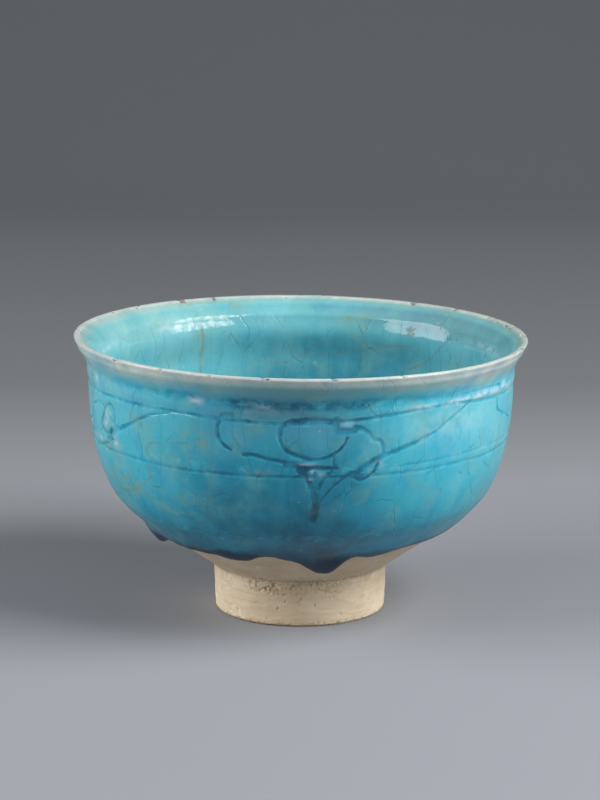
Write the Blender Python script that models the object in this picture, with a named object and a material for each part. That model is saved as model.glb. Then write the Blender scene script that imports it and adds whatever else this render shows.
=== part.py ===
"""Footed stonepaste bowl with an everted lip and a thick turquoise glaze that ran and gathered in drips.

Four solids: the turned clay bowl, the foot ring luted under it, and one coat of glaze outside and one inside.
Lengths are in metres. The origin is the centre of the foot's base, and the photographed front faces -Y.
"""
import math

import bmesh
import bpy
import numpy as np
from mathutils import Vector
from mathutils.geometry import interpolate_bezier

# the clay, sizes that the potter chose
FOOT_HEIGHT = 0.0175  # standing surface to the seat under the bowl
FOOT_BASE_RADIUS = 0.0331
FOOT_TOP_RADIUS = 0.0337
FOOT_WALL = 0.0078  # thickness of the ring at its standing face
FOOT_BATTER = 0.0011  # how much narrower the recess is at its top
FOOT_BEVEL = 0.0007  # worn edge on both sides of the standing face
HAUNCH_RADIUS = 0.0722  # where the flaring underside turns up into the wall
HAUNCH_HEIGHT = 0.0486
NECK_RADIUS = 0.08145  # the wall just under the lip
LIP_RADIUS = 0.08735  # the lip where its crest begins to round over, bare clay
LIP_THICKNESS = 0.0027
CREST_HEIGHT = 0.1081  # highest line of the lip
CROWN_HEIGHT = 0.0012  # the crest above the line where it begins to round over
FLARE_HEIGHT = 0.0139  # the flaring lip, from the neck up to that line
WALL_THICKNESS = 0.0023  # clay just under the lip
FLOOR_THICKNESS = 0.0047  # clay under the middle of the well
CEILING_DROP = 0.0008  # low cone left by turning inside the foot
CEILING_FLAT = 0.0080  # radius of the cone's flat middle
SEAT_WIDTH = 0.0098  # flat ring under the bowl that the foot ring is luted to

# the outline's slopes, degrees from the horizontal, and how far each slope is held
UNDERSIDE_SLOPE = 38.4
HAUNCH_SLOPE = 58.4
UNDERSIDE_REACH = 0.0146
HAUNCH_REACH_BELOW = 0.0104
HAUNCH_REACH_ABOVE = 0.0141
NECK_REACH = 0.0167
FLARE_REACH = 0.0070
LIP_SLOPE = 50.0
LIP_REACH = 0.0040
WELL_REACH = 0.0530  # how far the well stays level before it climbs
WALL_REACH = 0.0500  # how far the inside wall stays upright below the lip
INNER_LIP_DROP = 0.0075  # from the crest down to where the lip meets the inside wall
INNER_LIP_SLOPE = 75.0  # where it leaves the inside wall
INNER_LIP_REACH = 0.0019
CREST_PULL = 0.0016  # how far the lip's sides keep rising before they turn over the crest

# the glaze
JOINT_GAP = 0.0003  # room between fired pieces that touch
COAT = 0.0005  # glaze on the wall
POOL = 0.0012  # glaze lying in the middle of the well
POOL_RADIUS = 0.035
COAT_END = 0.0009  # length over which a coat rounds off at the lip
COAT_TIP = 0.0002  # glaze left where it stops at the lip
BARE_LIP = 0.0010  # clay that shows on each side of the crest, along the outline
ROLL = 0.0013  # thickness of the rolled lower edge
ROLL_LENGTH = 0.0110  # how far up the wall the roll fades into the coat
EDGE_ROUND = 0.0021  # length of the rounded end of the roll
EDGE_STEPS = (0.12, 0.5, 1.0)  # where the rounded end has its rows, as shares of its length
EDGE_HEIGHT = 0.0354  # mean height of the roll's end above the standing surface
EDGE_SWING = 0.0030  # the edge hangs lower on one side of the bowl than on the other
EDGE_LOW_SIDE = -52.0  # degrees round from the front where it hangs lowest
LINE_DEPTH = 0.0004  # the two turned lines show through the coat as shallow grooves
LINE_WIDTH = 0.0016
UPPER_LINE_DROP = 0.0007  # from the neck down to the line above the scroll
BAND_WIDTH = 0.0214  # the scroll's band, between the two lines

# runs of glaze below the roll: degrees round from the front, half width in degrees, drop, extra thickness
DRIPS = (
    (10.5, 9.4, 0.0099, 0.0015),
    (-25.0, 8.0, 0.0018, 0.0003),
    (-70.0, 6.0, 0.0046, 0.0020),
    (-108.0, 7.0, 0.0026, 0.0006),
    (-141.0, 8.0, 0.0068, 0.0012),
    (176.0, 7.0, 0.0024, 0.0005),
    (133.0, 8.6, 0.0052, 0.0011),
    (92.0, 7.0, 0.0020, 0.0004),
)

# the bowl leans a little in the kiln: height gained per metre to the right and to the back, at the lip
LEAN_RIGHT = -0.0098
LEAN_BACK = -0.0088

SEGMENTS = 72  # facets round the bowl
UNDERSIDE_ROWS = 7
WALL_ROWS = 7
FLARE_ROWS = 5
WELL_ROWS = 10
INNER_FLARE_ROWS = 4
CREST_ROWS = 5
ROW_TUCK = 0.00025  # least distance between rows where the glaze's edge crowds them

SEAT_HEIGHT = FOOT_HEIGHT + JOINT_GAP
LIP_HEIGHT = CREST_HEIGHT - CROWN_HEIGHT
NECK_HEIGHT = LIP_HEIGHT - FLARE_HEIGHT
UPPER_LINE_HEIGHT = NECK_HEIGHT - UPPER_LINE_DROP
LOWER_LINE_HEIGHT = UPPER_LINE_HEIGHT - BAND_WIDTH
TURNS = np.arange(SEGMENTS) * 2 * math.pi / SEGMENTS
FRONT = -math.pi / 2  # the turn at which the photographed front lies
SHARP = math.radians(40)  # a bend past this is an edge

STONEPASTE = (0.66, 0.57, 0.44)
FOOT_STONEPASTE = (0.70, 0.60, 0.46)
GLAZE_OUTSIDE = (0.05, 0.42, 0.52)
GLAZE_INSIDE = (0.06, 0.45, 0.55)
MATT = 0.9
GLOSSY = 0.15


def bezier(start, start_pull, end_pull, end, count):
    """Points of one cubic curve, ends included."""
    knots = [Vector((r, 0, z)) for r, z in (start, start_pull, end_pull, end)]
    return np.array([(p.x, p.z) for p in interpolate_bezier(*knots, count)])


def along(point, degrees, reach):
    """The point that lies a reach away in a direction given in degrees above the horizontal."""
    angle = math.radians(degrees)
    return (point[0] + reach * math.cos(angle), point[1] + reach * math.sin(angle))


def outer_outline():
    """Clay outline outside, from the foot seat up to the outermost line of the lip."""
    seat = (FOOT_TOP_RADIUS, SEAT_HEIGHT)
    haunch = (HAUNCH_RADIUS, HAUNCH_HEIGHT)
    neck = (NECK_RADIUS, NECK_HEIGHT)
    lip = (LIP_RADIUS, LIP_HEIGHT)
    under = bezier(
        seat,
        along(seat, UNDERSIDE_SLOPE, UNDERSIDE_REACH),
        along(haunch, HAUNCH_SLOPE, -HAUNCH_REACH_BELOW),
        haunch,
        UNDERSIDE_ROWS,
    )
    wall = bezier(
        haunch,
        along(haunch, HAUNCH_SLOPE, HAUNCH_REACH_ABOVE),
        along(neck, 90, -NECK_REACH),
        neck,
        WALL_ROWS,
    )
    flare = bezier(
        neck,
        along(neck, 90, FLARE_REACH),
        along(lip, LIP_SLOPE, -LIP_REACH),
        lip,
        FLARE_ROWS,
    )
    return np.vstack([under, wall[1:], flare[1:]])


def inner_outline():
    """Clay outline inside, from the middle of the well up to the inner edge of the lip."""
    well = (0.0, SEAT_HEIGHT - CEILING_DROP + FLOOR_THICKNESS)
    shoulder = (NECK_RADIUS - WALL_THICKNESS, CREST_HEIGHT - INNER_LIP_DROP)
    lip = (LIP_RADIUS - LIP_THICKNESS, LIP_HEIGHT)
    bowl = bezier(
        well,
        along(well, 0, WELL_REACH),
        along(shoulder, 90, -WALL_REACH),
        shoulder,
        WELL_ROWS,
    )
    flare = bezier(
        shoulder,
        along(shoulder, INNER_LIP_SLOPE, INNER_LIP_REACH),
        along(lip, LIP_SLOPE, -LIP_REACH / 2),
        lip,
        INNER_FLARE_ROWS,
    )
    return np.vstack([bowl, flare[1:]])


def lengths(outline):
    """Distance along an outline at each of its points."""
    steps = np.hypot(*np.diff(outline, axis=0).T)
    return np.concatenate([[0.0], np.cumsum(steps)])


def place(outline, side, run, lift):
    """Points at distances along an outline, lifted off its clay, with side 1 outwards and -1 inwards."""
    measure = lengths(outline)
    slope = np.gradient(outline, measure, axis=0)
    normal = np.stack([slope[:, 1], -slope[:, 0]], -1) * side
    normal /= np.linalg.norm(normal, axis=1)[:, None]
    fields = [outline[:, 0], outline[:, 1], normal[:, 0], normal[:, 1]]
    r, z, nr, nz = (np.interp(run, measure, field) for field in fields)
    return np.stack([r + nr * lift, z + nz * lift], -1)


def smooth(value):
    """0 below 0, 1 above 1, with level ends in between."""
    t = np.clip(value, 0, 1)
    return t * t * (3 - 2 * t)


def lip_top(outer_end, inner_end):
    """The rounded crest between the outermost line and the inner edge of the lip, without its ends."""
    turn_over = bezier(
        outer_end,
        along(outer_end, LIP_SLOPE, CREST_PULL),
        along(inner_end, LIP_SLOPE, CREST_PULL),
        inner_end,
        CREST_ROWS,
    )[1:-1]
    turn_over[:, 1] += CREST_HEIGHT - turn_over[:, 1].max()
    return turn_over


def edge_of_glaze():
    """Height of the glaze's lower edge and thickness of its roll, at every facet round the bowl."""
    degrees = np.degrees(TURNS - FRONT)
    height = EDGE_HEIGHT - EDGE_SWING * np.cos(np.radians(degrees - EDGE_LOW_SIDE))
    thickness = np.full(SEGMENTS, ROLL)
    for middle, half_width, drop, extra in DRIPS:
        apart = (degrees - middle + 180) % 360 - 180
        hang = np.exp(-((apart / half_width) ** 2))
        height -= drop * hang
        thickness += extra * hang
    return height, thickness


def lean(bm):
    """Lean the bowl: nothing at the foot, growing with the square of the height above the seat."""
    for vert in bm.verts:
        share = max(0.0, (vert.co.z - FOOT_HEIGHT) / (CREST_HEIGHT - FOOT_HEIGHT)) ** 2
        vert.co.z += share * (LEAN_RIGHT * vert.co.x + LEAN_BACK * vert.co.y)


def finished(name, bm, colour, roughness):
    """One closed object with its faces pointing out, shaded smooth, in a plain finish."""
    lean(bm)
    bmesh.ops.recalc_face_normals(bm, faces=bm.faces)
    mesh = bpy.data.meshes.new(name)
    bm.to_mesh(mesh)
    bm.free()
    mesh.shade_smooth()
    mesh.set_sharp_from_angle(angle=SHARP)
    material = bpy.data.materials.new(name + "_finish")
    material.use_nodes = True
    shader = material.node_tree.nodes["Principled BSDF"]
    shader.inputs["Base Color"].default_value = (*colour, 1)
    shader.inputs["Roughness"].default_value = roughness
    shader.inputs["Metallic"].default_value = 0
    mesh.materials.append(material)
    obj = bpy.data.objects.new(name, mesh)
    bpy.context.collection.objects.link(obj)
    return obj


def turned(name, outline, closed, colour, roughness):
    """Turn an outline about the bowl's axis. A closed outline joins up; an open one ends on the axis."""
    bm = bmesh.new()
    verts = [bm.verts.new((r, 0, z)) for r, z in outline]
    pairs = list(zip(verts, verts[1:]))
    if closed:
        pairs.append((verts[-1], verts[0]))
    edges = [bm.edges.new(pair) for pair in pairs]
    bmesh.ops.spin(
        bm,
        geom=verts + edges,
        cent=(0, 0, 0),
        axis=(0, 0, 1),
        angle=2 * math.pi,
        steps=SEGMENTS,
        use_merge=True,
    )
    bmesh.ops.remove_doubles(bm, verts=bm.verts, dist=JOINT_GAP / 100)
    return finished(name, bm, colour, roughness)


def draped(name, rings, closed, colour, roughness):
    """Skin rings that differ round the bowl, each an (r, z) pair per facet.

    Closed rings join the last to the first. Open ones end in a point on the axis at both ends.
    """
    bm = bmesh.new()
    loops = []
    for ring in rings:
        r, z = np.broadcast_to(ring, (SEGMENTS, 2)).T
        points = np.stack([r * np.cos(TURNS), r * np.sin(TURNS), z], -1)
        loops.append([bm.verts.new(point) for point in points])
    if closed:
        loops.append(loops[0])
    for low, high in zip(loops, loops[1:]):
        for k in range(SEGMENTS):
            bm.faces.new((low[k - 1], low[k], high[k], high[k - 1]))
    if not closed:
        for loop in (loops[0], loops[-1]):
            pole = bm.verts.new((0, 0, loop[0].co.z))
            for k in range(SEGMENTS):
                bm.faces.new((loop[k - 1], loop[k], pole))
    return finished(name, bm, colour, roughness)


def bowl_body():
    """Turned clay: ceiling inside the foot, seat, underside, wall, lip, inside wall and well."""
    outer = outer_outline()
    inner = inner_outline()[::-1]
    low = SEAT_HEIGHT - CEILING_DROP
    ceiling = [(0.0, low), (CEILING_FLAT, low), (FOOT_TOP_RADIUS - SEAT_WIDTH, SEAT_HEIGHT)]
    outline = [*ceiling, *outer, *lip_top(outer[-1], inner[0]), *inner]
    return turned("bowl_body", outline, False, STONEPASTE, MATT)


def foot_ring():
    """Clay ring with a battered recess and worn edges, its flat top under the bowl's seat."""
    inside_base = FOOT_BASE_RADIUS - FOOT_WALL
    outline = [
        (inside_base - FOOT_BATTER, FOOT_HEIGHT),
        (inside_base, FOOT_BEVEL),
        (inside_base + FOOT_BEVEL, 0.0),
        (FOOT_BASE_RADIUS - FOOT_BEVEL, 0.0),
        (FOOT_BASE_RADIUS, FOOT_BEVEL),
        (FOOT_TOP_RADIUS, FOOT_HEIGHT),
    ]
    return turned("foot_ring", outline, True, FOOT_STONEPASTE, MATT)


def outer_glaze():
    """Coat outside: rounded off under the crest, two grooves over the turned lines, a roll with drips.

    Its rows lie over the clay's own rows, and where the edge hangs above a row they crowd up behind the roll.
    """
    outline = outer_outline()
    measure = lengths(outline)
    top = measure[-1] - BARE_LIP
    edge_height, roll = edge_of_glaze()
    edge = np.interp(edge_height, outline[:, 1], measure)
    rows = measure[(measure > edge.min()) & (measure < top - COAT_END)]
    rows = [np.maximum(run, edge + EDGE_ROUND + k * ROW_TUCK) for k, run in enumerate(rows, 1)]
    lines = np.interp([LOWER_LINE_HEIGHT, UPPER_LINE_HEIGHT], outline[:, 1], measure)
    level = np.zeros(SEGMENTS)
    grooves = [
        (level + line + step, depth)
        for line in lines
        for step, depth in ((-LINE_WIDTH / 2, 0), (0, LINE_DEPTH), (LINE_WIDTH / 2, 0))
    ]
    plain = [(run, 0) for run in rows if np.abs(lines - run.mean()).min() > LINE_WIDTH]
    wall = sorted(plain + grooves, key=lambda row: row[0].mean())

    face = [
        place(outline, 1, edge + EDGE_ROUND * t, JOINT_GAP + roll * math.sqrt(1 - (1 - t) ** 2))
        for t in EDGE_STEPS
    ]
    for run, depth in wall:
        fading = 1 - smooth((run - edge - EDGE_ROUND) / ROLL_LENGTH)
        face.append(place(outline, 1, run, JOINT_GAP + COAT + (roll - COAT) * fading - depth))
    face.append(place(outline, 1, level + top - COAT_END, JOINT_GAP + COAT))
    face.append(place(outline, 1, level + top, JOINT_GAP + COAT_TIP))
    back = [place(outline, 1, run, JOINT_GAP) for run in [level + top, *rows[::-1], edge]]
    return draped("outer_glaze", face + back, True, GLAZE_OUTSIDE, GLOSSY)


def inner_glaze():
    """Coat inside: a shell with a pool in the well, rounded off below the crest."""
    outline = inner_outline()
    measure = lengths(outline)
    top = measure[-1] - BARE_LIP
    runs = np.append(measure[1:][measure[1:] < top - COAT_END], [top - COAT_END, top])
    depth = COAT + POOL * (1 - smooth(runs / POOL_RADIUS))
    depth[-1] = COAT_TIP
    back = [place(outline, -1, run, JOINT_GAP) for run in runs]
    face = [place(outline, -1, run, JOINT_GAP + deep) for run, deep in zip(runs, depth)]
    return draped("inner_glaze", back + face[::-1], False, GLAZE_INSIDE, GLOSSY)


for old in list(bpy.data.objects):
    bpy.data.objects.remove(old, do_unlink=True)

bowl_body()
foot_ring()
outer_glaze()
inner_glaze()
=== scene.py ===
"""Looks of a footed stonepaste bowl: its running turquoise glaze, cut scroll, worn lip and bare clay foot.

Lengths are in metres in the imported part's own frame. A turn is an angle round the bowl in degrees, 0 at the
front, which faces -Y, and positive towards +X. A run is a distance along an outline. Every grid has its rows
along an outline and its columns at TURNS.
"""

import logging
import math
from dataclasses import dataclass, field
from enum import Enum

import bpy
import numpy as np
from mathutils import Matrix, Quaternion, Vector


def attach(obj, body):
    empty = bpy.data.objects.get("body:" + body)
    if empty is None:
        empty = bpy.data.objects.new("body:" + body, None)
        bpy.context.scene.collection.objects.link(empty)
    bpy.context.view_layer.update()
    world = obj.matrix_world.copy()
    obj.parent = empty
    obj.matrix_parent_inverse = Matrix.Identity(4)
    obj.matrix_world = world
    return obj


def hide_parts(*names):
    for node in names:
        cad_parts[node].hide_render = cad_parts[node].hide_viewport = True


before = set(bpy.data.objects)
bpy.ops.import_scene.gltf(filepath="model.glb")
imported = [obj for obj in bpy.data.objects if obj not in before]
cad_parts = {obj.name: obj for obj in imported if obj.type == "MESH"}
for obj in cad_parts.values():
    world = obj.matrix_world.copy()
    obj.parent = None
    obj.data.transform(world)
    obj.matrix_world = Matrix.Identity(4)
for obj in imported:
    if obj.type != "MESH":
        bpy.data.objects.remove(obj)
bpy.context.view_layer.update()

COLUMNS = 720
TURNS = np.arange(COLUMNS) * 360.0 / COLUMNS - 180
FAR = 3.0
WALL_RADIUS = 0.0815
PER_DEGREE = math.radians(1) * WALL_RADIUS
HASH_AXES = (73856093, 19349663, 83492791)
HASH_SEED = 40503
HASH_MIXES = ((13, 1274126177), (15, 668265263))
HASH_MASK = 0x7FFFFFFF
Array = np.ndarray
Colour = tuple[float, float, float]
Settings = dict[str, object]
Inputs = dict[str | int, object]

log = logging.getLogger("bowl")


def smooth(value: Array) -> Array:
    """Eased step: 0 below 0, 1 above 1, and 3t^2 - 2t^3 in between.

    Args:
        value: Numbers to ease.

    Returns:
        Numbers from 0 to 1.
    """
    t = np.clip(value, 0, 1)
    return t * t * (3 - 2 * t)


def bell(value: Array, middle: float, half_width: float | Array) -> Array:
    """Bell curve exp(-((value - middle) / half_width)^2), 1 at its middle and 0.37 a half width away."""
    return np.exp(-(((value - middle) / half_width) ** 2))


def apart(turn: float) -> Array:
    """Signed angle from a turn to each of TURNS, the short way round, in degrees."""
    return (TURNS - turn + 180) % 360 - 180


def facing(turn: float, half_width: float | Array) -> Array:
    """Bell curve round the bowl, with its middle at a turn and its half width in degrees."""
    return bell(apart(turn), 0, half_width)


def cubic(knots: list[tuple[float, float]], count: int) -> Array:
    """Points of a cubic curve: its four knots weighted by (1-t)^3, 3(1-t)^2 t, 3(1-t) t^2 and t^3.

    Args:
        knots: Start, its pull, the end's pull and the end, each (radius, height).
        count: How many points, ends included.

    Returns:
        An array of count points.
    """
    t = np.linspace(0, 1, count)[:, None]
    start, leave, arrive, end = np.array(knots)
    return (1 - t) ** 3 * start + 3 * (1 - t) ** 2 * t * leave + 3 * (1 - t) * t**2 * arrive + t**3 * end


def along(point: tuple[float, float], degrees: float, reach: float) -> tuple[float, float]:
    """The point that lies a reach away from another, in a direction above the horizontal."""
    angle = math.radians(degrees)
    return (point[0] + reach * math.cos(angle), point[1] + reach * math.sin(angle))


def outward(steps: Array) -> Array:
    """Unit normals to the right of a profile: each step turned by a right angle and divided by its length.

    Args:
        steps: The profile's direction at each point, (radius, height).

    Returns:
        (outward, upward) pairs.
    """
    normal = np.stack([steps[:, 1], -steps[:, 0]], -1)
    return normal / np.maximum(np.linalg.norm(normal, axis=1), 1e-9)[:, None]


def carried(profile: Array) -> tuple[Array, Array]:
    """A profile's radii and heights, the same at every turn."""
    return tuple(np.repeat(profile[:, [axis]], COLUMNS, axis=1) for axis in (0, 1))


def grain(points: Array, size: float | tuple[float, float, float], seed: int, octaves: int = 1) -> Array:
    """Smooth noise from about -1 to 1: hashed values on a cubic lattice, blended by eased weights.

    Args:
        points: Places in space, their last axis x, y, z.
        size: Lattice spacing, one number or one for each axis.
        seed: Which noise.
        octaves: How many layers, each half the size and half the height of the one before.

    Returns:
        One number for each place.
    """
    total = np.zeros(points.shape[:-1])
    weight_sum = 0.0
    for octave in range(octaves):
        place = points * 2**octave / np.array(size)
        base = np.floor(place).astype(np.int64)
        share = smooth(place - base)
        for corner in np.ndindex(2, 2, 2):
            key = ((base + corner) * HASH_AXES).sum(-1) + (seed + octave) * HASH_SEED
            for shift, factor in HASH_MIXES:
                key = ((key ^ (key >> shift)) * factor) & HASH_MASK
            value = (key >> 8 & 0xFFFF) / 32767.5 - 1
            weight = np.prod(np.where(np.array(corner, bool), share, 1 - share), -1)
            total += value * weight * 0.5**octave
        weight_sum += 0.5**octave
    return total / weight_sum


class Outline:
    """A turned profile, with the distance along it and its clay's outward normal at each point."""

    def __init__(self, points: Array, side: int) -> None:
        """Measures the profile.

        Args:
            points: (radius, height) pairs in order.
            side: 1 where the air lies to the right of the profile's direction, and -1 to the left.
        """
        self.points = points
        self.side = side
        self.run = np.concatenate([[0.0], np.cumsum(np.hypot(*np.diff(points, axis=0).T))])
        self.normal = outward(np.gradient(points, self.run, axis=0)) * side

    @property
    def length(self) -> float:
        """The whole run."""
        return float(self.run[-1])

    def run_at(self, height: float | Array) -> Array:
        """The run at which a climbing profile passes each height."""
        return np.interp(height, self.points[:, 1], self.run)

    def at(self, run: Array, lift: float | Array = 0.0) -> tuple[Array, Array]:
        """Radius and height at each run, lifted off the clay along its normal.

        Args:
            run: Distances along the profile.
            lift: Distances off it.

        Returns:
            Radii and heights.
        """
        fields = (*self.points.T, *self.normal.T)
        radius, height, out, up = (np.interp(run, self.run, each) for each in fields)
        return radius + out * lift, height + up * lift

    def stretch(self, start: float, end: float, count: int) -> Array:
        """Points of the profile at evenly spaced runs between two, both included."""
        return np.stack(self.at(np.linspace(start, end, count)), -1)


@dataclass(frozen=True)
class Thrown:
    """Sizes of the turned clay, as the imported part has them, and how its lip is worn."""

    foot_height: float = 0.0175
    foot_base_radius: float = 0.0331
    foot_top_radius: float = 0.0337
    foot_wall: float = 0.0078
    foot_batter: float = 0.0011
    foot_bevel: float = 0.0007
    haunch: tuple[float, float] = (0.0722, 0.0486)
    neck_radius: float = 0.08145
    lip_radius: float = 0.08735
    lip_thickness: float = 0.0027
    crest_height: float = 0.1081
    crown_height: float = 0.0012
    flare_height: float = 0.0139
    wall_thickness: float = 0.0023
    floor_thickness: float = 0.0047
    ceiling_drop: float = 0.0008
    ceiling_flat: float = 0.0080
    seat_width: float = 0.0098
    underside_slope: float = 38.4
    haunch_slope: float = 58.4
    underside_reach: float = 0.0146
    haunch_reach_below: float = 0.0104
    haunch_reach_above: float = 0.0141
    neck_reach: float = 0.0167
    flare_reach: float = 0.0070
    lip_slope: float = 50.0
    lip_reach: float = 0.0040
    well_reach: float = 0.0530
    wall_reach: float = 0.0500
    inner_lip_drop: float = 0.0075
    inner_lip_slope: float = 75.0
    inner_lip_reach: float = 0.0019
    crest_pull: float = 0.0016
    joint_gap: float = 0.0003
    lean_right: float = -0.0098
    lean_back: float = -0.0088
    curve_points: int = 160
    wear: float = 0.00014
    wear_size: float = 0.011
    crest_margin: float = 0.0004
    crest_fade: float = 0.0010
    nick_depth: float = 0.00045
    nick_size: float = 0.0030
    nick_grain: float = 0.0012
    # how much the crest is dulled, and the share, turn and half width in degrees of the stretches that are
    # duller
    dullness: float = 0.22
    dull_stretches: tuple[tuple[float, float, float], ...] = ((0.34, 150.0, 60.0), (0.12, 90.0, 40.0))
    # turn and half width in degrees of the stretch where small nicks crowd
    nick_crowd: tuple[float, float] = (108.0, 48.0)
    # turn and half width in degrees of the nicks that show in the photograph
    nicks: tuple[tuple[float, float], ...] = (
        (-52.0, 1.1),
        (-35.7, 0.6),
        (-145.5, 1.1),
        (-155.2, 0.7),
        (147.5, 1.2),
        (-9.0, 0.5),
        (25.0, 0.5),
    )

    @property
    def seat_height(self) -> float:
        """Where the bowl's flat seat lies, just over the foot ring."""
        return self.foot_height + self.joint_gap

    @property
    def seat_edge(self) -> float:
        """Radius of the flat seat's inner edge."""
        return self.foot_top_radius - self.seat_width

    @property
    def lip_height(self) -> float:
        """Where the lip begins to round over its crest."""
        return self.crest_height - self.crown_height

    @property
    def outer_lip(self) -> tuple[float, float]:
        """Where the crest begins outside."""
        return (self.lip_radius, self.lip_height)

    @property
    def inner_lip(self) -> tuple[float, float]:
        """Where the crest begins inside."""
        return (self.lip_radius - self.lip_thickness, self.lip_height)

    def outside(self) -> Outline:
        """The clay outside, from the foot's seat up over the lip to the middle of its crest: three cubic
        curves that meet at the haunch and the neck, and half the crest.

        Returns:
            The outline, with the air to its right.
        """
        seat = (self.foot_top_radius, self.seat_height)
        neck = (self.neck_radius, self.lip_height - self.flare_height)
        lip = self.outer_lip
        under = [
            seat,
            along(seat, self.underside_slope, self.underside_reach),
            along(self.haunch, self.haunch_slope, -self.haunch_reach_below),
            self.haunch,
        ]
        wall = [
            self.haunch,
            along(self.haunch, self.haunch_slope, self.haunch_reach_above),
            along(neck, 90, -self.neck_reach),
            neck,
        ]
        flare = [neck, along(neck, 90, self.flare_reach), along(lip, self.lip_slope, -self.lip_reach), lip]
        curves = [cubic(knots, self.curve_points)[1:] for knots in (under, wall, flare)]
        return Outline(np.vstack([[seat], *curves, self.crest()[1 : self.curve_points // 2]]), 1)

    def inside(self) -> Outline:
        """The clay inside, from the middle of the well up over the lip to the middle of its crest: two cubic
        curves that meet at the shoulder, and half the crest.

        Returns:
            The outline, with the air to its left.
        """
        well = (0.0, self.seat_height - self.ceiling_drop + self.floor_thickness)
        shoulder = (self.neck_radius - self.wall_thickness, self.crest_height - self.inner_lip_drop)
        lip = self.inner_lip
        bowl = [well, along(well, 0, self.well_reach), along(shoulder, 90, -self.wall_reach), shoulder]
        flare = [
            shoulder,
            along(shoulder, self.inner_lip_slope, self.inner_lip_reach),
            along(lip, self.lip_slope, -self.lip_reach / 2),
            lip,
        ]
        curves = [cubic(knots, self.curve_points)[1:] for knots in (bowl, flare)]
        return Outline(np.vstack([[well], *curves, self.crest()[-2 : self.curve_points // 2 : -1]]), -1)

    def crest(self) -> Array:
        """The rounded top of the lip: a cubic curve from its outer end to its inner end, raised by a sine.

        Returns:
            Its points.
        """
        knots = [
            self.outer_lip,
            along(self.outer_lip, self.lip_slope, self.crest_pull),
            along(self.inner_lip, self.lip_slope, self.crest_pull),
            self.inner_lip,
        ]
        over = cubic(knots, self.curve_points)
        over[:, 1] += (self.crest_height - over[:, 1].max()) * np.sin(np.linspace(0, math.pi, len(over)))
        return over

    def nicked(self, spots: Array) -> Array:
        """Where the lip's crest is chipped: the photograph's nicks, and small ones that crowd to the right.

        Args:
            spots: Places in space, rows by turns.

        Returns:
            0 where the crest is whole, up to 1 in a nick.
        """
        small = smooth((grain(spots, self.nick_size, 57, 2) - 0.50 + 0.28 * facing(*self.nick_crowd)) / 0.12)
        ragged = 1 + 0.5 * grain(spots, self.nick_grain, 59)
        large = np.max([facing(turn, half * ragged) for turn, half in self.nicks], axis=0)
        return np.clip(np.maximum(small, smooth((large - 0.3) / 0.4)), 0, 1)

    def worn(self, spots: Array, height: Array) -> tuple[Array, Array]:
        """How far the crest has worn down, and how much of each place is nick.

        Args:
            spots: Places in space, rows by turns.
            height: Their heights before the lean.

        Returns:
            Depths below the new crest, and shares from 0 to 1.
        """
        crest = smooth((height - self.lip_height + self.crest_margin) / self.crest_fade)
        nick = self.nicked(spots) * crest
        rubbed = self.wear * (1 + 0.5 * grain(spots, self.wear_size, 55, 2))
        return crest * rubbed + nick * self.nick_depth, nick

    def dulled(self) -> Array:
        """How much the crest is dulled at each turn: most at the back and the right, where it was handled."""
        return self.dullness + sum(share * facing(turn, half) for share, turn, half in self.dull_stretches)

    def spin(self, radius: Array, height: Array) -> Array:
        """Carry a profile round the bowl and lean it as it leant in the kiln.

        x = r sin(turn), y = -r cos(turn), and z gains s^2 (right x + back y), where s is the share of the
        height above the foot.

        Args:
            radius: Radii, rows by turns.
            height: Heights, rows by turns.

        Returns:
            Points, rows by turns by 3.
        """
        angle = np.radians(TURNS)
        x = radius * np.sin(angle)
        y = -radius * np.cos(angle)
        share = np.maximum(0, (height - self.foot_height) / (self.crest_height - self.foot_height))
        return np.stack([x, y, height + share**2 * (self.lean_right * x + self.lean_back * y)], -1)


CLAY = Thrown()


class Ends(Enum):
    """How a skinned grid's first and last rows are closed."""

    JOINED = "the last row joins the first"
    POLES = "each end row closes on its own middle point"


def skinned(name: str, points: Array, ends: Ends, readings: dict[str, Array]) -> bpy.types.Object:
    """Make one closed, smooth-shaded object from a grid that goes round the bowl.

    Args:
        name: The object's name.
        points: Rows by turns by 3, in an order that has the faces pointing outwards.
        ends: How the first and last rows close.
        readings: Numbers kept at each grid point for the finish, each rows by turns.

    Returns:
        The new object, at the origin.
    """
    rows, columns = points.shape[:2]
    index = np.arange(rows * columns).reshape(rows, columns)
    if ends is Ends.JOINED:
        index = np.vstack([index, index[:1]])
    beside = np.roll(index, -1, axis=1)
    quads = np.stack([index[:-1], beside[:-1], beside[1:], index[1:]], -1).reshape(-1, 4)
    coordinates = points.reshape(-1, 3)
    corners = [quads.ravel()]
    starts = [np.arange(len(quads)) * 4]
    if ends is Ends.POLES:
        low = np.full(columns, len(coordinates))
        fan_low = np.stack([index[0], low, beside[0]], -1)
        fan_high = np.stack([index[-1], beside[-1], low + 1], -1)
        coordinates = np.vstack([coordinates, points[[0, -1]].mean(axis=1)])
        corners.append(np.vstack([fan_low, fan_high]).ravel())
        starts.append(len(quads) * 4 + np.arange(2 * columns) * 3)
    mesh = bpy.data.meshes.new(name)
    mesh.vertices.add(len(coordinates))
    mesh.vertices.foreach_set("co", coordinates.astype(np.float32).ravel())
    loops = np.concatenate(corners).astype(np.int32)
    mesh.loops.add(len(loops))
    mesh.loops.foreach_set("vertex_index", loops)
    faces = np.concatenate(starts).astype(np.int32)
    mesh.polygons.add(len(faces))
    mesh.polygons.foreach_set("loop_start", faces)
    mesh.update(calc_edges=True)
    mesh.validate()
    mesh.shade_smooth()
    for label, values in readings.items():
        kept = np.zeros(len(coordinates), np.float32)
        kept[: rows * columns] = np.broadcast_to(values, (rows, columns)).ravel()
        if ends is Ends.POLES:
            kept[rows * columns :] = kept[[0, rows * columns - 1]]
        mesh.attributes.new(label, "FLOAT", "POINT").data.foreach_set("value", kept)
    return placed(name, mesh)


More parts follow.
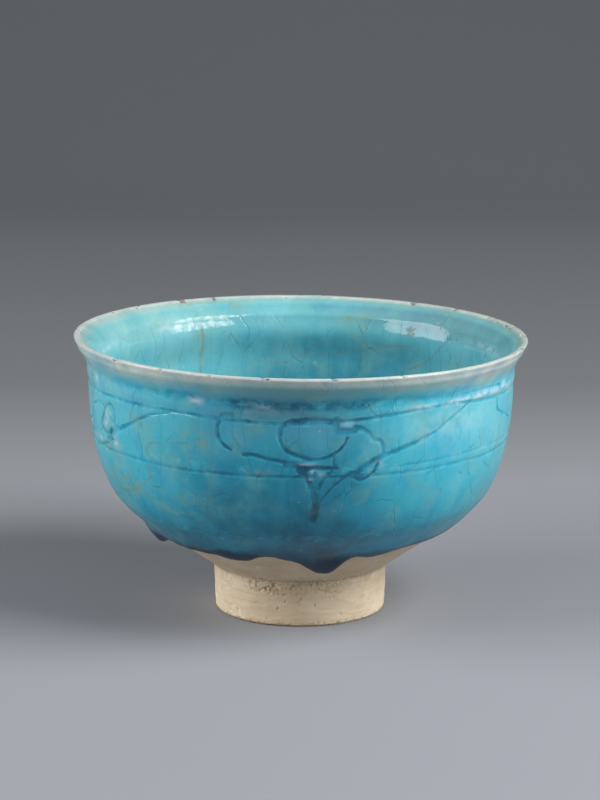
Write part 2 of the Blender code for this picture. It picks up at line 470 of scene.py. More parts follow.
def placed(name: str, data: bpy.types.ID) -> bpy.types.Object:
    """Link a new object into the scene, at the origin.

    Args:
        name: The object's name.
        data: Its mesh, lamp or camera.

    Returns:
        The object.
    """
    made = bpy.data.objects.new(name, data)
    bpy.context.scene.collection.objects.link(made)
    return made


@dataclass(frozen=True)
class Mottle:
    """A noise of a finish: the length of its largest features, its finer layers and its shift in space.
    With a fade it eases from 0 to 1 between those two values.
    """

    size: float
    layers: float = 3
    shift: float = 0
    fade: tuple[float, float] | None = None
    squeeze: Colour = (1, 1, 1)
    swirl: float = 0


@dataclass(frozen=True)
class Craze:
    """A network of cracks: the length of a cell, how far its cracks stray, its squeeze upright and its shift,
    the distances between which a crack fades in, and the values of the mottle between which it shows.
    """

    cell: float
    stray: float
    upright: float
    shift: float
    width: tuple[float, float]
    shown: tuple[float, float]


class Signal:
    """A number that varies over a surface. Arithmetic on it adds Math nodes to its material."""

    def __init__(self, nodes: "Nodes", socket: bpy.types.NodeSocket) -> None:
        """Holds an output socket of a material's nodes."""
        self.nodes = nodes
        self.socket = socket

    def _math(self, operation: str, *values: "Signal | float", clamp: bool = False) -> "Signal":
        """Add a Math node of this operation and inputs, and hold its result."""
        settings = {"operation": operation, "use_clamp": clamp}
        return self.nodes.signal("ShaderNodeMath", settings, dict(enumerate(values)))

    def __add__(self, other: "Signal | float") -> "Signal":
        """Sum."""
        return self._math("ADD", self, other)

    __radd__ = __add__

    def __sub__(self, other: "Signal | float") -> "Signal":
        """Difference."""
        return self._math("SUBTRACT", self, other)

    def __rsub__(self, other: float) -> "Signal":
        """Difference from a plain number."""
        return self._math("SUBTRACT", other, self)

    def __mul__(self, other: "Signal | float") -> "Signal":
        """Product."""
        return self._math("MULTIPLY", self, other)

    __rmul__ = __mul__

    def held(self) -> "Signal":
        """Itself, held between 0 and 1."""
        return self._math("ADD", self, 0.0, clamp=True)

    def most(self, other: "Signal | float") -> "Signal":
        """The larger of two."""
        return self._math("MAXIMUM", self, other)

    def eased(self, start: float, end: float) -> "Signal":
        """Ease by 3t^2 - 2t^3, where t is the share of the way between two values.

        Args:
            start: Where the result is 0.
            end: Where it is 1. It may be the smaller of the two.

        Returns:
            A number from 0 to 1.
        """
        turned = start > end
        inputs = {0: self, 1: min(start, end), 2: max(start, end), 3: float(turned), 4: float(not turned)}
        return self.nodes.signal("ShaderNodeMapRange", {"interpolation_type": "SMOOTHSTEP"}, inputs)


class Nodes:
    """The nodes of one material, added from Python expressions."""

    def __init__(self, name: str) -> None:
        """Starts an empty material.

        Args:
            name: The material's name.
        """
        self.material = bpy.data.materials.new(name)
        self.material.use_nodes = True
        self.tree = self.material.node_tree
        self.tree.nodes.clear()
        self.place = self.add("ShaderNodeTexCoord").outputs["Object"]

    def add(
        self, kind: str, settings: Settings | None = None, inputs: Inputs | None = None
    ) -> bpy.types.Node:
        """Add a node, with its settings first and then its inputs.

        Args:
            kind: The node's type.
            settings: Its own settings. "stops" gives a ramp's (position, colour) pairs, in order.
            inputs: Values, sockets or signals by the socket's name or number.

        Returns:
            The node.
        """
        node = self.tree.nodes.new(kind)
        for key, value in (settings or {}).items():
            if key == "stops":
                elements = node.color_ramp.elements
                for _ in value[len(elements) :]:
                    elements.new(1.0)
                for element, (position, colour) in zip(elements, value):
                    element.position = position
                    element.color = (*colour, 1.0)
            else:
                setattr(node, key, value)
        for key, value in (inputs or {}).items():
            socket = node.inputs[key]
            if isinstance(value, (Signal, bpy.types.NodeSocket)):
                self.tree.links.new(getattr(value, "socket", value), socket)
            else:
                socket.default_value = value
        return node

    def signal(
        self, kind: str, settings: Settings | None = None, inputs: Inputs | None = None, output: str | int = 0
    ) -> Signal:
        """Add a node and hold one of its outputs as a number."""
        return Signal(self, self.add(kind, settings, inputs).outputs[output])

    def reading(self, label: str) -> Signal:
        """A number kept in the mesh."""
        return self.signal("ShaderNodeAttribute", {"attribute_name": label}, output="Fac")

    def stretched(self, scale: Colour, shift: float) -> bpy.types.NodeSocket:
        """Object coordinates, scaled, and then shifted along every axis."""
        inputs = {"Vector": self.place, "Scale": scale, "Location": (shift,) * 3}
        return self.add("ShaderNodeMapping", {}, inputs).outputs[0]

    def mottled(self, mottle: Mottle) -> Signal:
        """A noise from 0 to 1 about a half, or what its fade makes of it.

        Args:
            mottle: Its sizes.

        Returns:
            The noise.
        """
        inputs = {
            "Vector": self.stretched(mottle.squeeze, mottle.shift),
            "Scale": 1 / mottle.size,
            "Detail": mottle.layers,
            "Distortion": mottle.swirl,
        }
        noise = self.signal("ShaderNodeTexNoise", {}, inputs)
        return noise.eased(*mottle.fade) if mottle.fade else noise

    def crazed(self, craze: Craze, shown: Signal) -> Signal:
        """The cracks of a network: 1 in a crack, by the distance to the edge of the nearest cell.

        Args:
            craze: The network's sizes.
            shown: The mottle that hides some of them.

        Returns:
            A number from 0 to 1.
        """
        place = self.stretched((1.0, 1.0, craze.upright), craze.shift)
        wander = {"Vector": place, "Scale": 1.5 / craze.cell, "Detail": 2.0}
        centring = {0: self.add("ShaderNodeTexNoise", {}, wander).outputs["Color"], 1: (0.5,) * 3}
        centred = self.add("ShaderNodeVectorMath", {"operation": "SUBTRACT"}, centring)
        inputs = {0: centred.outputs[0], 1: (craze.stray,) * 3, 2: place}
        moved = self.add("ShaderNodeVectorMath", {"operation": "MULTIPLY_ADD"}, inputs)
        cells = {"Vector": moved.outputs[0], "Scale": 1 / craze.cell}
        distance = self.signal("ShaderNodeTexVoronoi", {"feature": "DISTANCE_TO_EDGE"}, cells)
        return distance.eased(*craze.width) * shown.eased(*craze.shown)

    def ramp(self, signal: Signal, stops: tuple[tuple[float, Colour], ...]) -> bpy.types.NodeSocket:
        """Colours by a number."""
        return self.add("ShaderNodeValToRGB", {"stops": stops}, {0: signal}).outputs[0]

    def mixed(self, share: Signal, under: object, over: object, blend: str = "MIX") -> bpy.types.NodeSocket:
        """One colour laid over another.

        Args:
            share: How much of the upper one shows.
            under: The lower colour, a socket or three numbers.
            over: The upper colour.
            blend: How they blend.

        Returns:
            The mixed colour.
        """
        settings = {"data_type": "RGBA", "blend_type": blend}
        lower, upper = ((*each, 1.0) if isinstance(each, tuple) else each for each in (under, over))
        return self.add("ShaderNodeMix", settings, {0: share, 6: lower, 7: upper}).outputs[2]

    def bumped(self, height: Signal, depth: float) -> bpy.types.NodeSocket:
        """Normals bumped by a height from 0 to 1 that stands for a depth in metres."""
        return self.add("ShaderNodeBump", {}, {"Height": height, "Distance": depth}).outputs[0]

    def surface(self, inputs: Inputs) -> bpy.types.Material:
        """Close the material with a Principled shader.

        Args:
            inputs: What feeds the shader.

        Returns:
            The material.
        """
        shader = self.add("ShaderNodeBsdfPrincipled", {}, inputs)
        self.add("ShaderNodeOutputMaterial", {}, {"Surface": shader.outputs[0]})
        return self.material


CHIP_EDGE = Mottle(0.0011, 3, 2.9)


def chipped(nodes: Nodes) -> Signal:
    """Where the lip's nicks show: the mesh's reading with a ragged edge."""
    return (nodes.reading("nick") + (nodes.mottled(CHIP_EDGE) - 0.5) * 1.1).eased(0.40, 0.80)


@dataclass(frozen=True)
class GlazeFinish:
    """Alkaline turquoise glaze over white paste: pale where thin, navy where it pooled, crazed, stained."""

    name: str
    # colours by how deep the glaze looks
    stops: tuple[tuple[float, Colour], ...] = (
        (0.00, (0.59, 0.63, 0.60)),
        (0.12, (0.37, 0.54, 0.53)),
        (0.28, (0.155, 0.47, 0.53)),
        (0.44, (0.048, 0.40, 0.51)),
        (0.58, (0.016, 0.28, 0.40)),
        (0.74, (0.010, 0.13, 0.21)),
        (0.88, (0.003, 0.050, 0.098)),
        (1.00, (0.001, 0.027, 0.062)),
    )
    blue: Colour = (0.030, 0.30, 0.52)
    deep_blue: Colour = (0.014, 0.24, 0.38)
    green: Colour = (0.15, 0.37, 0.35)
    stain: Colour = (0.22, 0.29, 0.18)
    # grey of dulled glaze, and of the painted shade and painted reflection under the lip at the front
    dulled: Colour = (0.21, 0.24, 0.215)
    craze: Colour = (0.25, 0.52, 0.58)
    rust: Colour = (0.80, 0.60, 0.42)
    seam: Colour = (0.115, 0.120, 0.100)
    # pale colour of milky glaze, pinholes and flecks, and of painted glints and highlights
    milk: Colour = (0.55, 0.62, 0.70)
    body: Colour = (0.135, 0.12, 0.092)

    patch: Mottle = Mottle(0.0085, 3, 0.31)
    fine: Mottle = Mottle(0.0009, 3, 0.12)
    cloud: Mottle = Mottle(0.026)
    streak: Mottle = Mottle(0.0050, 3, 3.1, squeeze=(1, 1, 0.22))
    ragged: Mottle = Mottle(0.0022, 3, 0.63)
    line_wear: Mottle = Mottle(0.0075, 3, 7.7, (0.34, 0.60))
    burrs: Mottle = Mottle(0.005, 2, 0.41, (0.45, 0.65))
    pool_edge: Mottle = Mottle(0.0044, 4, 2.1, (0.36, 0.62), (1, 1, 1.4))
    bluer: Mottle = Mottle(0.015, 3, 4.3, (0.50, 0.68))
    greener: Mottle = Mottle(0.012, 4, 5.2, (0.49, 0.69))
    crazing: Mottle = Mottle(0.0062, 2, 0.53)
    rusty: Mottle = Mottle(0.016, 2, 0.77, (0.58, 0.68))
    seam_wear: Mottle = Mottle(0.0040, 3, 3.7, (0.34, 0.62))
    soil: Mottle = Mottle(0.0034, 4, 0.9, (0.32, 0.68))
    flecks: Mottle = Mottle(0.0052, 4, 1.3, (0.66, 0.84))
    milk_and_glints_edge: Mottle = Mottle(0.0030, 4, 6.1, (0.36, 0.58))
    pinholed: Mottle = Mottle(0.012, 1, 1.9, (0.54, 0.62))
    matt_edge: Mottle = Mottle(0.0026, 3, 4.9, (0.42, 0.62))
    cracks: Craze = Craze(0.0088, 0.0013, 0.24, 0.0, (0.019, 0.005), (0.39, 0.57))
    faint_cracks: Craze = Craze(0.0044, 0.0010, 0.22, 0.2, (0.030, 0.008), (0.52, 0.66))

    # distances in half widths between which a line, its burr, a seam and its halo fade in
    line_edge: tuple[float, float] = (1.65, 0.45)
    burr_edge: tuple[float, float] = (2.6, 1.5)
    seam_edge: tuple[float, float] = (1.7, 0.3)
    halo_edge: tuple[float, float] = (2.9, 0.6)
    line_ragged: float = 1.5
    seam_ragged: float = 1.2
    # how much deeper each of these makes the glaze look
    cloud_depth: float = 0.24
    patch_depth: float = 0.16
    streak_depth: float = 0.10
    fine_depth: float = 0.05
    burr_depth: float = -0.10
    pool_depth: float = 0.14
    pooled_depth: float = 0.13
    line_depth: float = 0.25
    # depths between which a line stops darkening the glaze, and the blue and the green fade in
    line_fade: tuple[float, float] = (0.90, 0.52)
    shallow: tuple[float, float] = (0.74, 0.56)

    blue_share: float = 0.34
    green_share: float = 0.42
    crack_share: float = 0.36
    faint_share: float = 0.18
    rust_share: float = 0.5
    seam_share: float = 0.52
    seam_halo: float = 0.14
    soil_share: float = 0.52
    fleck_share: float = 0.3
    milk_and_glints_share: float = 0.78
    pinhole_spacing: float = 0.0050
    pinhole_share: float = 0.35
    chip_share: float = 0.8
    # how much rougher and how much lower each of these makes the glaze
    crack_rough: float = 0.10
    worn_rough: float = 0.2
    patch_rough: float = 0.20
    chip_rough: float = 0.5
    patch_relief: float = 0.6
    fine_relief: float = 0.10
    crack_sunk: float = 0.20
    worn_sunk: float = 0.2
    line_sunk: float = 0.35
    haze: float = 0.50
    haze_level: float = 0.07
    coat: float = 0.62
    gloss: float = 0.07
    refraction: float = 1.5
    relief_depth: float = 0.00024

    def material(self) -> bpy.types.Material:
        """Build the material. It reads depth, line, line_weight, pool, blue, seam, seam_weight, stain, dull,
        milk, plain, matt and nick from the mesh.

        Returns:
            The material.
        """
        nodes = Nodes(self.name)
        ragged = nodes.mottled(self.ragged) - 0.5
        patch = nodes.mottled(self.patch)
        fine = nodes.mottled(self.fine)
        line_off = nodes.reading("line") + ragged * self.line_ragged
        line_weight = nodes.reading("line_weight") * (nodes.mottled(self.line_wear) * 0.6 + 0.4)
        line = line_off.eased(*self.line_edge) * line_weight
        colour = self._body(nodes, patch, fine, line, line_off)

        shown = nodes.mottled(self.crazing)
        crack = nodes.crazed(self.cracks, shown)
        craze = (crack * self.crack_share).most(nodes.crazed(self.faint_cracks, shown) * self.faint_share)
        bare = 1 - nodes.reading("plain")
        colour = nodes.mixed(craze * bare, colour, self.craze, "MULTIPLY")
        rusty = crack * nodes.mottled(self.rusty) * self.rust_share * bare
        colour = nodes.mixed(rusty, colour, self.rust, "MULTIPLY")

        seam_off = nodes.reading("seam") + ragged * self.seam_ragged
        seam_weight = nodes.reading("seam_weight")
        seam = seam_off.eased(*self.seam_edge) * seam_weight * (nodes.mottled(self.seam_wear) * 0.75 + 0.25)
        halo = seam_off.eased(*self.halo_edge) * seam_weight
        colour = nodes.mixed(halo * self.seam_halo, colour, self.stain)
        colour = nodes.mixed(seam * self.seam_share, colour, self.seam)

        soiled = nodes.reading("stain") * nodes.mottled(self.soil)
        colour = nodes.mixed(soiled * self.soil_share, colour, self.stain)
        # milky glaze and flecks, and painted glints and highlights
        milk_and_glints_cover = nodes.reading("milk") * nodes.mottled(self.milk_and_glints_edge)
        milk_and_glints_cover = (nodes.mottled(self.flecks) * self.fleck_share).most(milk_and_glints_cover)
        colour = nodes.mixed(milk_and_glints_cover * self.milk_and_glints_share, colour, self.milk)
        cells = {"Vector": nodes.place, "Scale": 1 / self.pinhole_spacing}
        speck = nodes.signal("ShaderNodeTexVoronoi", {"feature": "F1"}, cells)
        pinhole = speck.eased(0.10, 0.02) * nodes.mottled(self.pinholed)
        colour = nodes.mixed(pinhole * self.pinhole_share, colour, self.milk)
        chip = chipped(nodes)
        colour = nodes.mixed(chip * self.chip_share, colour, self.body)

        worn = crack * self.crack_rough + (soiled + seam + milk_and_glints_cover) * self.worn_rough
        rough = worn + (patch - 0.5) * self.patch_rough + chip * self.chip_rough + self.haze
        matt = nodes.reading("matt") * nodes.mottled(self.matt_edge)
        sunk = crack * self.crack_sunk + (pinhole + soiled) * self.worn_sunk + line * self.line_sunk
        relief = patch * self.patch_relief + fine * self.fine_relief - sunk + 0.7
        normal = nodes.bumped(relief, self.relief_depth)
        return nodes.surface(
            {
                "Base Color": colour,
                "Roughness": rough.held(),
                "IOR": self.refraction,
                "Specular IOR Level": self.haze_level,
                "Coat Weight": ((1 - chip.most(seam * 0.9)) * (1 - matt * 0.9) * self.coat).held(),
                "Coat Roughness": self.gloss,
                "Coat IOR": self.refraction,
                "Normal": normal,
                "Coat Normal": normal,
            }
        )

    def _body(
        self, nodes: Nodes, patch: Signal, fine: Signal, line: Signal, line_off: Signal
    ) -> bpy.types.NodeSocket:
        """The glaze's colour: by depth, which carries painted shade and light too, clouded, run in upright
        streaks, and bluer, greener or dulled in places, some dulled places being painted shade and
        reflection.

        Args:
            nodes: The material's nodes.
            patch: Noise of small patches.
            fine: Noise of grain.
            line: How much of each place is cut line.
            line_off: Distance to the nearest line in half widths.

        Returns:
            The colour.
        """
        burr = line_off.eased(*self.burr_edge) * nodes.mottled(self.burrs) * (1 - line)
        pooled = nodes.reading("pool")
        pool = pooled * nodes.mottled(self.pool_edge)
        clouded = (nodes.mottled(self.cloud) - 0.5) * self.cloud_depth + (patch - 0.5) * self.patch_depth
        streaked = (nodes.mottled(self.streak) - 0.5) * self.streak_depth + (fine - 0.5) * self.fine_depth
        gathered = burr * self.burr_depth + pool * self.pool_depth + pooled * self.pooled_depth
        # the depth reading carries painted shade and painted light as well as the glaze's depth
        tone = nodes.reading("depth") + clouded + streaked + gathered
        tone = tone + line * tone.eased(*self.line_fade) * self.line_depth
        colour = nodes.ramp(tone, self.stops)
        shallow = tone.eased(*self.shallow)
        colour = nodes.mixed(nodes.mottled(self.bluer) * shallow * self.blue_share, colour, self.blue)
        colour = nodes.mixed(nodes.mottled(self.greener) * shallow * self.green_share, colour, self.green)
        colour = nodes.mixed((nodes.reading("blue") * (patch * 0.6 + 0.65)).held(), colour, self.deep_blue)
        # dulled glaze, and in places painted shade and painted reflection
        dull = nodes.reading("dull") * (patch * 0.7 + 0.65) * (1 - (pool * 1.4).most(line)).held()
        return nodes.mixed(dull, colour, self.dulled)


@dataclass(frozen=True)
class PasteFinish:
    """Bare stonepaste: a sandy cream body with turning marks, pits and dirt, glassy on the lip's crest, with
    a painted contact shadow and painted shade on the foot.
    """

    name: str
    body: Colour = (0.66, 0.53, 0.37)
    pale: Colour = (0.76, 0.65, 0.48)
    warm: Colour = (0.55, 0.41, 0.25)
    # dark brown of dirt and pits, also the colour of the painted contact shadow
    grime: Colour = (0.22, 0.14, 0.08)
    slip: Colour = (0.84, 0.74, 0.60)
    glassy: Colour = (0.54, 0.57, 0.53)
    glassy_green: Colour = (0.44, 0.52, 0.50)
    glassy_dull: Colour = (0.22, 0.25, 0.23)
    chip: Colour = (0.13, 0.105, 0.078)

    cloud: Mottle = Mottle(0.012, 4, fade=(0.35, 0.7))
    rings: Mottle = Mottle(0.0016, 3, 0.4, squeeze=(0.08, 0.08, 1.0))
    sand: Mottle = Mottle(0.0005, 3, 0.7)
    pits: Mottle = Mottle(0.0010, 2, 1.1, (0.33, 0.25))
    grime_and_shadow_edge: Mottle = Mottle(0.0011, 4, 1.7, (0.46, 0.60))
    smear: Mottle = Mottle(0.0075, 4, 8.3, squeeze=(1, 1, 1.5), swirl=1.6)
    green_edge: Mottle = Mottle(0.006, 3, 2.3, (0.42, 0.66))

    ring_share: float = 0.35
    pit_share: float = 0.25
    grime_and_shadow_share: float = 0.75
    slip_share: float = 0.55
    # share of the warm colour where the clay is dulled and where the foot's front is painted in shade
    dull_and_shade_share: float = 0.8
    chip_share: float = 0.8
    bare_roughness: float = 0.9
    glassy_smoothness: float = 0.5
    refraction: float = 1.45
    relief_depth: float = 0.00030

    def material(self) -> bpy.types.Material:
        """Build the material. It reads grime, crest, dull and nick from the mesh.

        Returns:
            The material.
        """
        nodes = Nodes(self.name)
        crest = nodes.reading("crest")
        dull = nodes.reading("dull")
        rings = nodes.mottled(self.rings)
        pits = nodes.mottled(self.pits)
        smear = nodes.mottled(self.smear)
        colour = nodes.mixed(nodes.mottled(self.cloud), self.body, self.pale)
        colour = nodes.mixed(rings.eased(0.50, 0.72) * self.ring_share, colour, self.warm)
        colour = nodes.mixed(pits * self.pit_share, colour, self.grime)
        # dirt, with the painted contact shadow along the foot's standing edge
        soiled = nodes.reading("grime") * nodes.mottled(self.grime_and_shadow_edge)
        colour = nodes.mixed(soiled * self.grime_and_shadow_share, colour, self.grime)
        colour = nodes.mixed(smear.eased(0.54, 0.70) * self.slip_share, colour, self.slip)
        # warmer and darker where the clay is dulled, and painted shade on the front of the foot
        colour = nodes.mixed(dull * self.dull_and_shade_share, colour, self.warm)

        glassy = nodes.mixed(nodes.mottled(self.green_edge), self.glassy, self.glassy_green)
        glassy = nodes.mixed(dull, glassy, self.glassy_dull)
        chip = chipped(nodes)
        worn = nodes.mixed(chip * self.chip_share, glassy, self.chip)
        relief = rings * 0.30 + nodes.mottled(self.sand) * 0.35 - pits * 0.6 + smear * 0.7 + 0.3
        return nodes.surface(
            {
                "Base Color": nodes.mixed(crest, colour, worn),
                "Roughness": self.bare_roughness - crest * (1 - chip) * self.glassy_smoothness,
                "IOR": self.refraction,
                "Normal": nodes.bumped(relief, self.relief_depth),
            }
        )


@dataclass(frozen=True)
class Patches:
    """Soft patches on a coat, each (turn, height, half width in degrees, half height, strength)."""

    spots: tuple[tuple[float, float, float, float, float], ...] = ()

    def cover(self, heights: Array) -> Array:
        """How far the patches cover each place: the sum of their bells, held between 0 and 1.

        Args:
            heights: Heights, rows by turns.

        Returns:
            Numbers from 0 to 1, rows by turns.
        """
        total = np.zeros(heights.shape)
        for turn, height, wide, high, strength in self.spots:
            total += strength * facing(turn, wide) * bell(heights, height, high)
        return np.clip(total, 0, 1)


@dataclass(frozen=True)
class Stroke:
    """One cut of the scroll: a curve through given points, each (turn, height)."""

    points: tuple[tuple[float, float], ...]
    width: float = 0.0017
    end_width: float = 0.0017
    strength: float = 1.0

    def path(self, steps: int = 8) -> Array:
        """Points of a smooth curve through the stroke's points, by cubic pieces whose pull at each point is
        half the way between its neighbours.

        Args:
            steps: Pieces between two of its points.

        Returns:
            (turn, height, half width) triples.
        """
        knots = np.array(self.points)
        pull = np.gradient(knots, axis=0)
        t = np.linspace(0, 1, steps, endpoint=False)[:, None]
        start, end = knots[:-1, None], knots[1:, None]
        leave, arrive = pull[:-1, None], pull[1:, None]
        share = 3 * t**2 - 2 * t**3
        curve = (1 - share) * start + (t**3 - 2 * t**2 + t) * leave + share * end + (t**3 - t**2) * arrive
        line = np.vstack([curve.reshape(-1, 2), knots[-1:]])
        half = np.linspace(self.width, self.end_width, len(line)) / 2
        return np.column_stack([line, half])


def lay(strokes: tuple[Stroke, ...], across: Array, up: Array, found: Array, strength: Array) -> None:
    """Bring the nearest distances up to date with some strokes. The distance to a stroke is the least
    distance to the straight pieces of its path, divided by the path's half width there.

    Args:
        strokes: The strokes.
        across: Distance round the bowl from the turn the strokes are drawn from, rows by turns.
        up: Heights, rows by turns.
        found: Distances to bring up to date.
        strength: Strengths to bring up to date.
    """
    for stroke in strokes:
        path = stroke.path()
        x, z, half = path[:, 0] * PER_DEGREE, path[:, 1], path[:, 2]
        reach = half.max() * FAR
        near = (across > x.min() - reach) & (across < x.max() + reach)
        near &= (up > z.min() - reach) & (up < z.max() + reach)
        px, pz = across[near][:, None], up[near][:, None]
        step_x, step_z = np.diff(x), np.diff(z)
        t = np.clip(((px - x[:-1]) * step_x + (pz - z[:-1]) * step_z) / (step_x**2 + step_z**2), 0, 1)
        off = np.hypot(px - x[:-1] - t * step_x, pz - z[:-1] - t * step_z)
        distance = (off / (half[:-1] + t * np.diff(half))).min(axis=1)
        closer = distance < found[near]
        found[near] = np.where(closer, distance, found[near])
        strength[near] = np.where(closer, stroke.strength, strength[near])


@dataclass(frozen=True)
class Repeat:
    """One repeat of the scroll's motif: the turn of its middle, and the turns between which it was cut."""

    turn: float
    first: float
    last: float


@dataclass(frozen=True)
class Scroll:
    """The band of scroll cut in the clay under the glaze, one motif repeated round the bowl."""

    strokes: tuple[Stroke, ...] = (
        Stroke(((-17.5, 0.0927), (-18.6, 0.0929), (-19.9, 0.0925), (-21.0, 0.0901), (-21.5, 0.0870),
                (-21.0, 0.0839), (-19.7, 0.0816), (-18.0, 0.0801)), 0.0018, 0.0012),
        Stroke(((2.4, 0.0918), (-0.2, 0.0917), (-2.5, 0.0913), (-4.5, 0.0898), (-5.2, 0.0864),
                (-4.6, 0.0827), (-2.9, 0.0803), (-0.2, 0.0786), (3.0, 0.0775), (6.3, 0.0780), (9.1, 0.0800),
                (11.2, 0.0829), (11.9, 0.0853)), 0.0019, 0.0009),
        Stroke(((-2.6, 0.0912), (0.4, 0.0919), (3.4, 0.0919), (7.8, 0.0913)), 0.0017, 0.0020),
        Stroke(((8.9, 0.0916), (9.0, 0.0896), (9.2, 0.0880)), 0.0026, 0.0022, 0.7),
        Stroke(((9.2, 0.0880), (11.4, 0.0878), (13.8, 0.0880)), 0.0022, 0.0020, 0.7),
        Stroke(((13.8, 0.0893), (15.2, 0.0888), (16.5, 0.0879), (17.8, 0.0862), (18.9, 0.0843),
                (20.9, 0.0834), (21.4, 0.0805), (21.3, 0.0778), (20.6, 0.0765)), 0.0017, 0.0012, 0.80),
        Stroke(((20.6, 0.0765), (20.0, 0.0742), (19.0, 0.0718), (17.3, 0.0701), (15.4, 0.0693),
                (13.9, 0.0707)), 0.0016, 0.0010, 0.8),
        Stroke(((13.6, 0.0718), (16.0, 0.0735), (18.9, 0.0763), (22.4, 0.0783), (26.0, 0.0797),
                (31.6, 0.0819), (36.5, 0.0844), (41.7, 0.0882), (47.7, 0.0922), (49.0, 0.0930)), 0.0024,
                0.0006, 0.9),
        Stroke(((-14.6, 0.0785), (-12.0, 0.0787), (-8.4, 0.0775), (-4.9, 0.0766), (-2.5, 0.0757)), 0.0013,
                0.0011, 0.8),
        Stroke(((-3.6, 0.0757), (-1.5, 0.0751), (0.9, 0.0738), (4.2, 0.0742), (7.1, 0.0739), (9.4, 0.0738)),
                0.0023, 0.0015),
        Stroke(((9.1, 0.0738), (8.5, 0.0762), (8.6, 0.0793)), 0.0011, 0.0008, 0.6),
        Stroke(((-1.5, 0.0748), (0.1, 0.0727), (1.7, 0.0709), (2.8, 0.0678), (3.5, 0.0647), (4.1, 0.0610),
                (3.9, 0.0570), (3.5, 0.0543)), 0.0019, 0.0027, 0.85),
        Stroke(((8.9, 0.0735), (7.9, 0.0730), (6.6, 0.0711), (5.4, 0.0688), (4.6, 0.0657)), 0.0017, 0.0010,
                0.75),
        Stroke(((14.6, 0.0717), (13.4, 0.0717), (11.9, 0.0709), (10.7, 0.0699)), 0.0015, 0.0012, 0.8),
        Stroke(((10.7, 0.0699), (9.5, 0.0683), (8.2, 0.0665), (7.0, 0.0645), (5.5, 0.0617), (4.3, 0.0586)),
                0.0010, 0.0009, 0.55),
    )
    # the bud at the left edge of the photograph and the tendril at its right edge
    beside: tuple[Stroke, ...] = (
        Stroke(((-61.5, 0.0764), (-59.2, 0.0776), (-56.1, 0.0801), (-50.1, 0.0837), (-46.4, 0.0863),
                (-43.0, 0.0885), (-40.0, 0.0897), (-38.3, 0.0902), (-36.0, 0.0906)), 0.0016, 0.0007),
        Stroke(((-64.7, 0.0839), (-63.1, 0.0866), (-61.3, 0.0881), (-59.3, 0.0883), (-58.0, 0.0864),
                (-57.9, 0.0826), (-58.7, 0.0791), (-60.3, 0.0770), (-63.7, 0.0763), (-65.9, 0.0777),
                (-66.4, 0.0801), (-64.7, 0.0839)), 0.0010, 0.0010),
        Stroke(((-73.1, 0.0899), (-73.5, 0.0872), (-72.5, 0.0858), (-70.2, 0.0866), (-68.0, 0.0876),
                (-64.8, 0.0871), (-64.0, 0.0847), (-65.2, 0.0811)), 0.0009, 0.0009, 0.9),
        Stroke(((-59.0, 0.0788), (-61.6, 0.0764), (-62.2, 0.0740), (-65.9, 0.0718), (-73.6, 0.0694)),
                0.0026, 0.0008),
        Stroke(((-65.2, 0.0776), (-62.2, 0.0756), (-60.0, 0.0738)), 0.0016, 0.0012),
        Stroke(((-60.2, 0.0781), (-61.4, 0.0766), (-62.6, 0.0752)), 0.0034, 0.0030, 1.6),
        Stroke(((-64.6, 0.0771), (-62.0, 0.0760), (-59.2, 0.0748)), 0.0015, 0.0010, 1.5),
        Stroke(((63.9, 0.0919), (64.1, 0.0898), (64.4, 0.0871)), 0.0024, 0.0020),
        Stroke(((64.4, 0.0871), (65.8, 0.0859), (70.0, 0.0836), (78.6, 0.0794)), 0.0012, 0.0008, 0.85),
    )
    repeats: tuple[Repeat, ...] = (
        Repeat(0.0, -30.0, 56.0),
        Repeat(-85.0, -112.0, -74.0),
        Repeat(97.0, 80.0, 150.0),
        Repeat(182.5, 155.0, 240.0),
    )
    # how far a repeat strays from the front motif, and the length of its wavers
    stray: float = 0.0011
    waver: float = 0.017

    def nearest(self, heights: Array) -> tuple[Array, Array]:
        """How far each place lies from the scroll's nearest line. Away from the front the motif wavers, as a
        hand repeats it.

        Args:
            heights: Heights, rows by turns.

        Returns:
            Distances in half widths of that line, at most FAR, and that line's strength.
        """
        found = np.full(heights.shape, FAR)
        strength = np.zeros(heights.shape)
        for number, repeat in enumerate(self.repeats):
            local = np.broadcast_to(apart(repeat.turn), heights.shape)
            spot = np.stack([local * PER_DEGREE, heights, np.full(heights.shape, number * 0.1)], -1)
            stray = min(number, 1) * self.stray
            inside = (local > repeat.first - repeat.turn) & (local < repeat.last - repeat.turn)
            across = np.where(inside, local * PER_DEGREE + stray * grain(spot, self.waver, 5), math.pi)
            lay(self.strokes, across, heights + stray * grain(spot, self.waver, 9), found, strength)
        lay(self.beside, np.broadcast_to(TURNS * PER_DEGREE, heights.shape), heights, found, strength)
        return found, strength


@dataclass(frozen=True)
class Seams:
    """Old hairlines that soaked up brown dirt, drawn in turns from a middle turn."""

    middle: float = 0.0
    strokes: tuple[Stroke, ...] = ()

    def nearest(self, heights: Array) -> tuple[Array, Array]:
        """How far each place lies from the nearest hairline.

        Args:
            heights: Heights, rows by turns.

        Returns:
            Distances in half widths of that line, at most FAR, and that line's strength.
        """
        found = np.full(heights.shape, FAR)
        strength = np.zeros(heights.shape)
        across = np.broadcast_to(apart(self.middle) * PER_DEGREE, heights.shape)
        lay(self.strokes, across, heights, found, strength)
        return found, strength


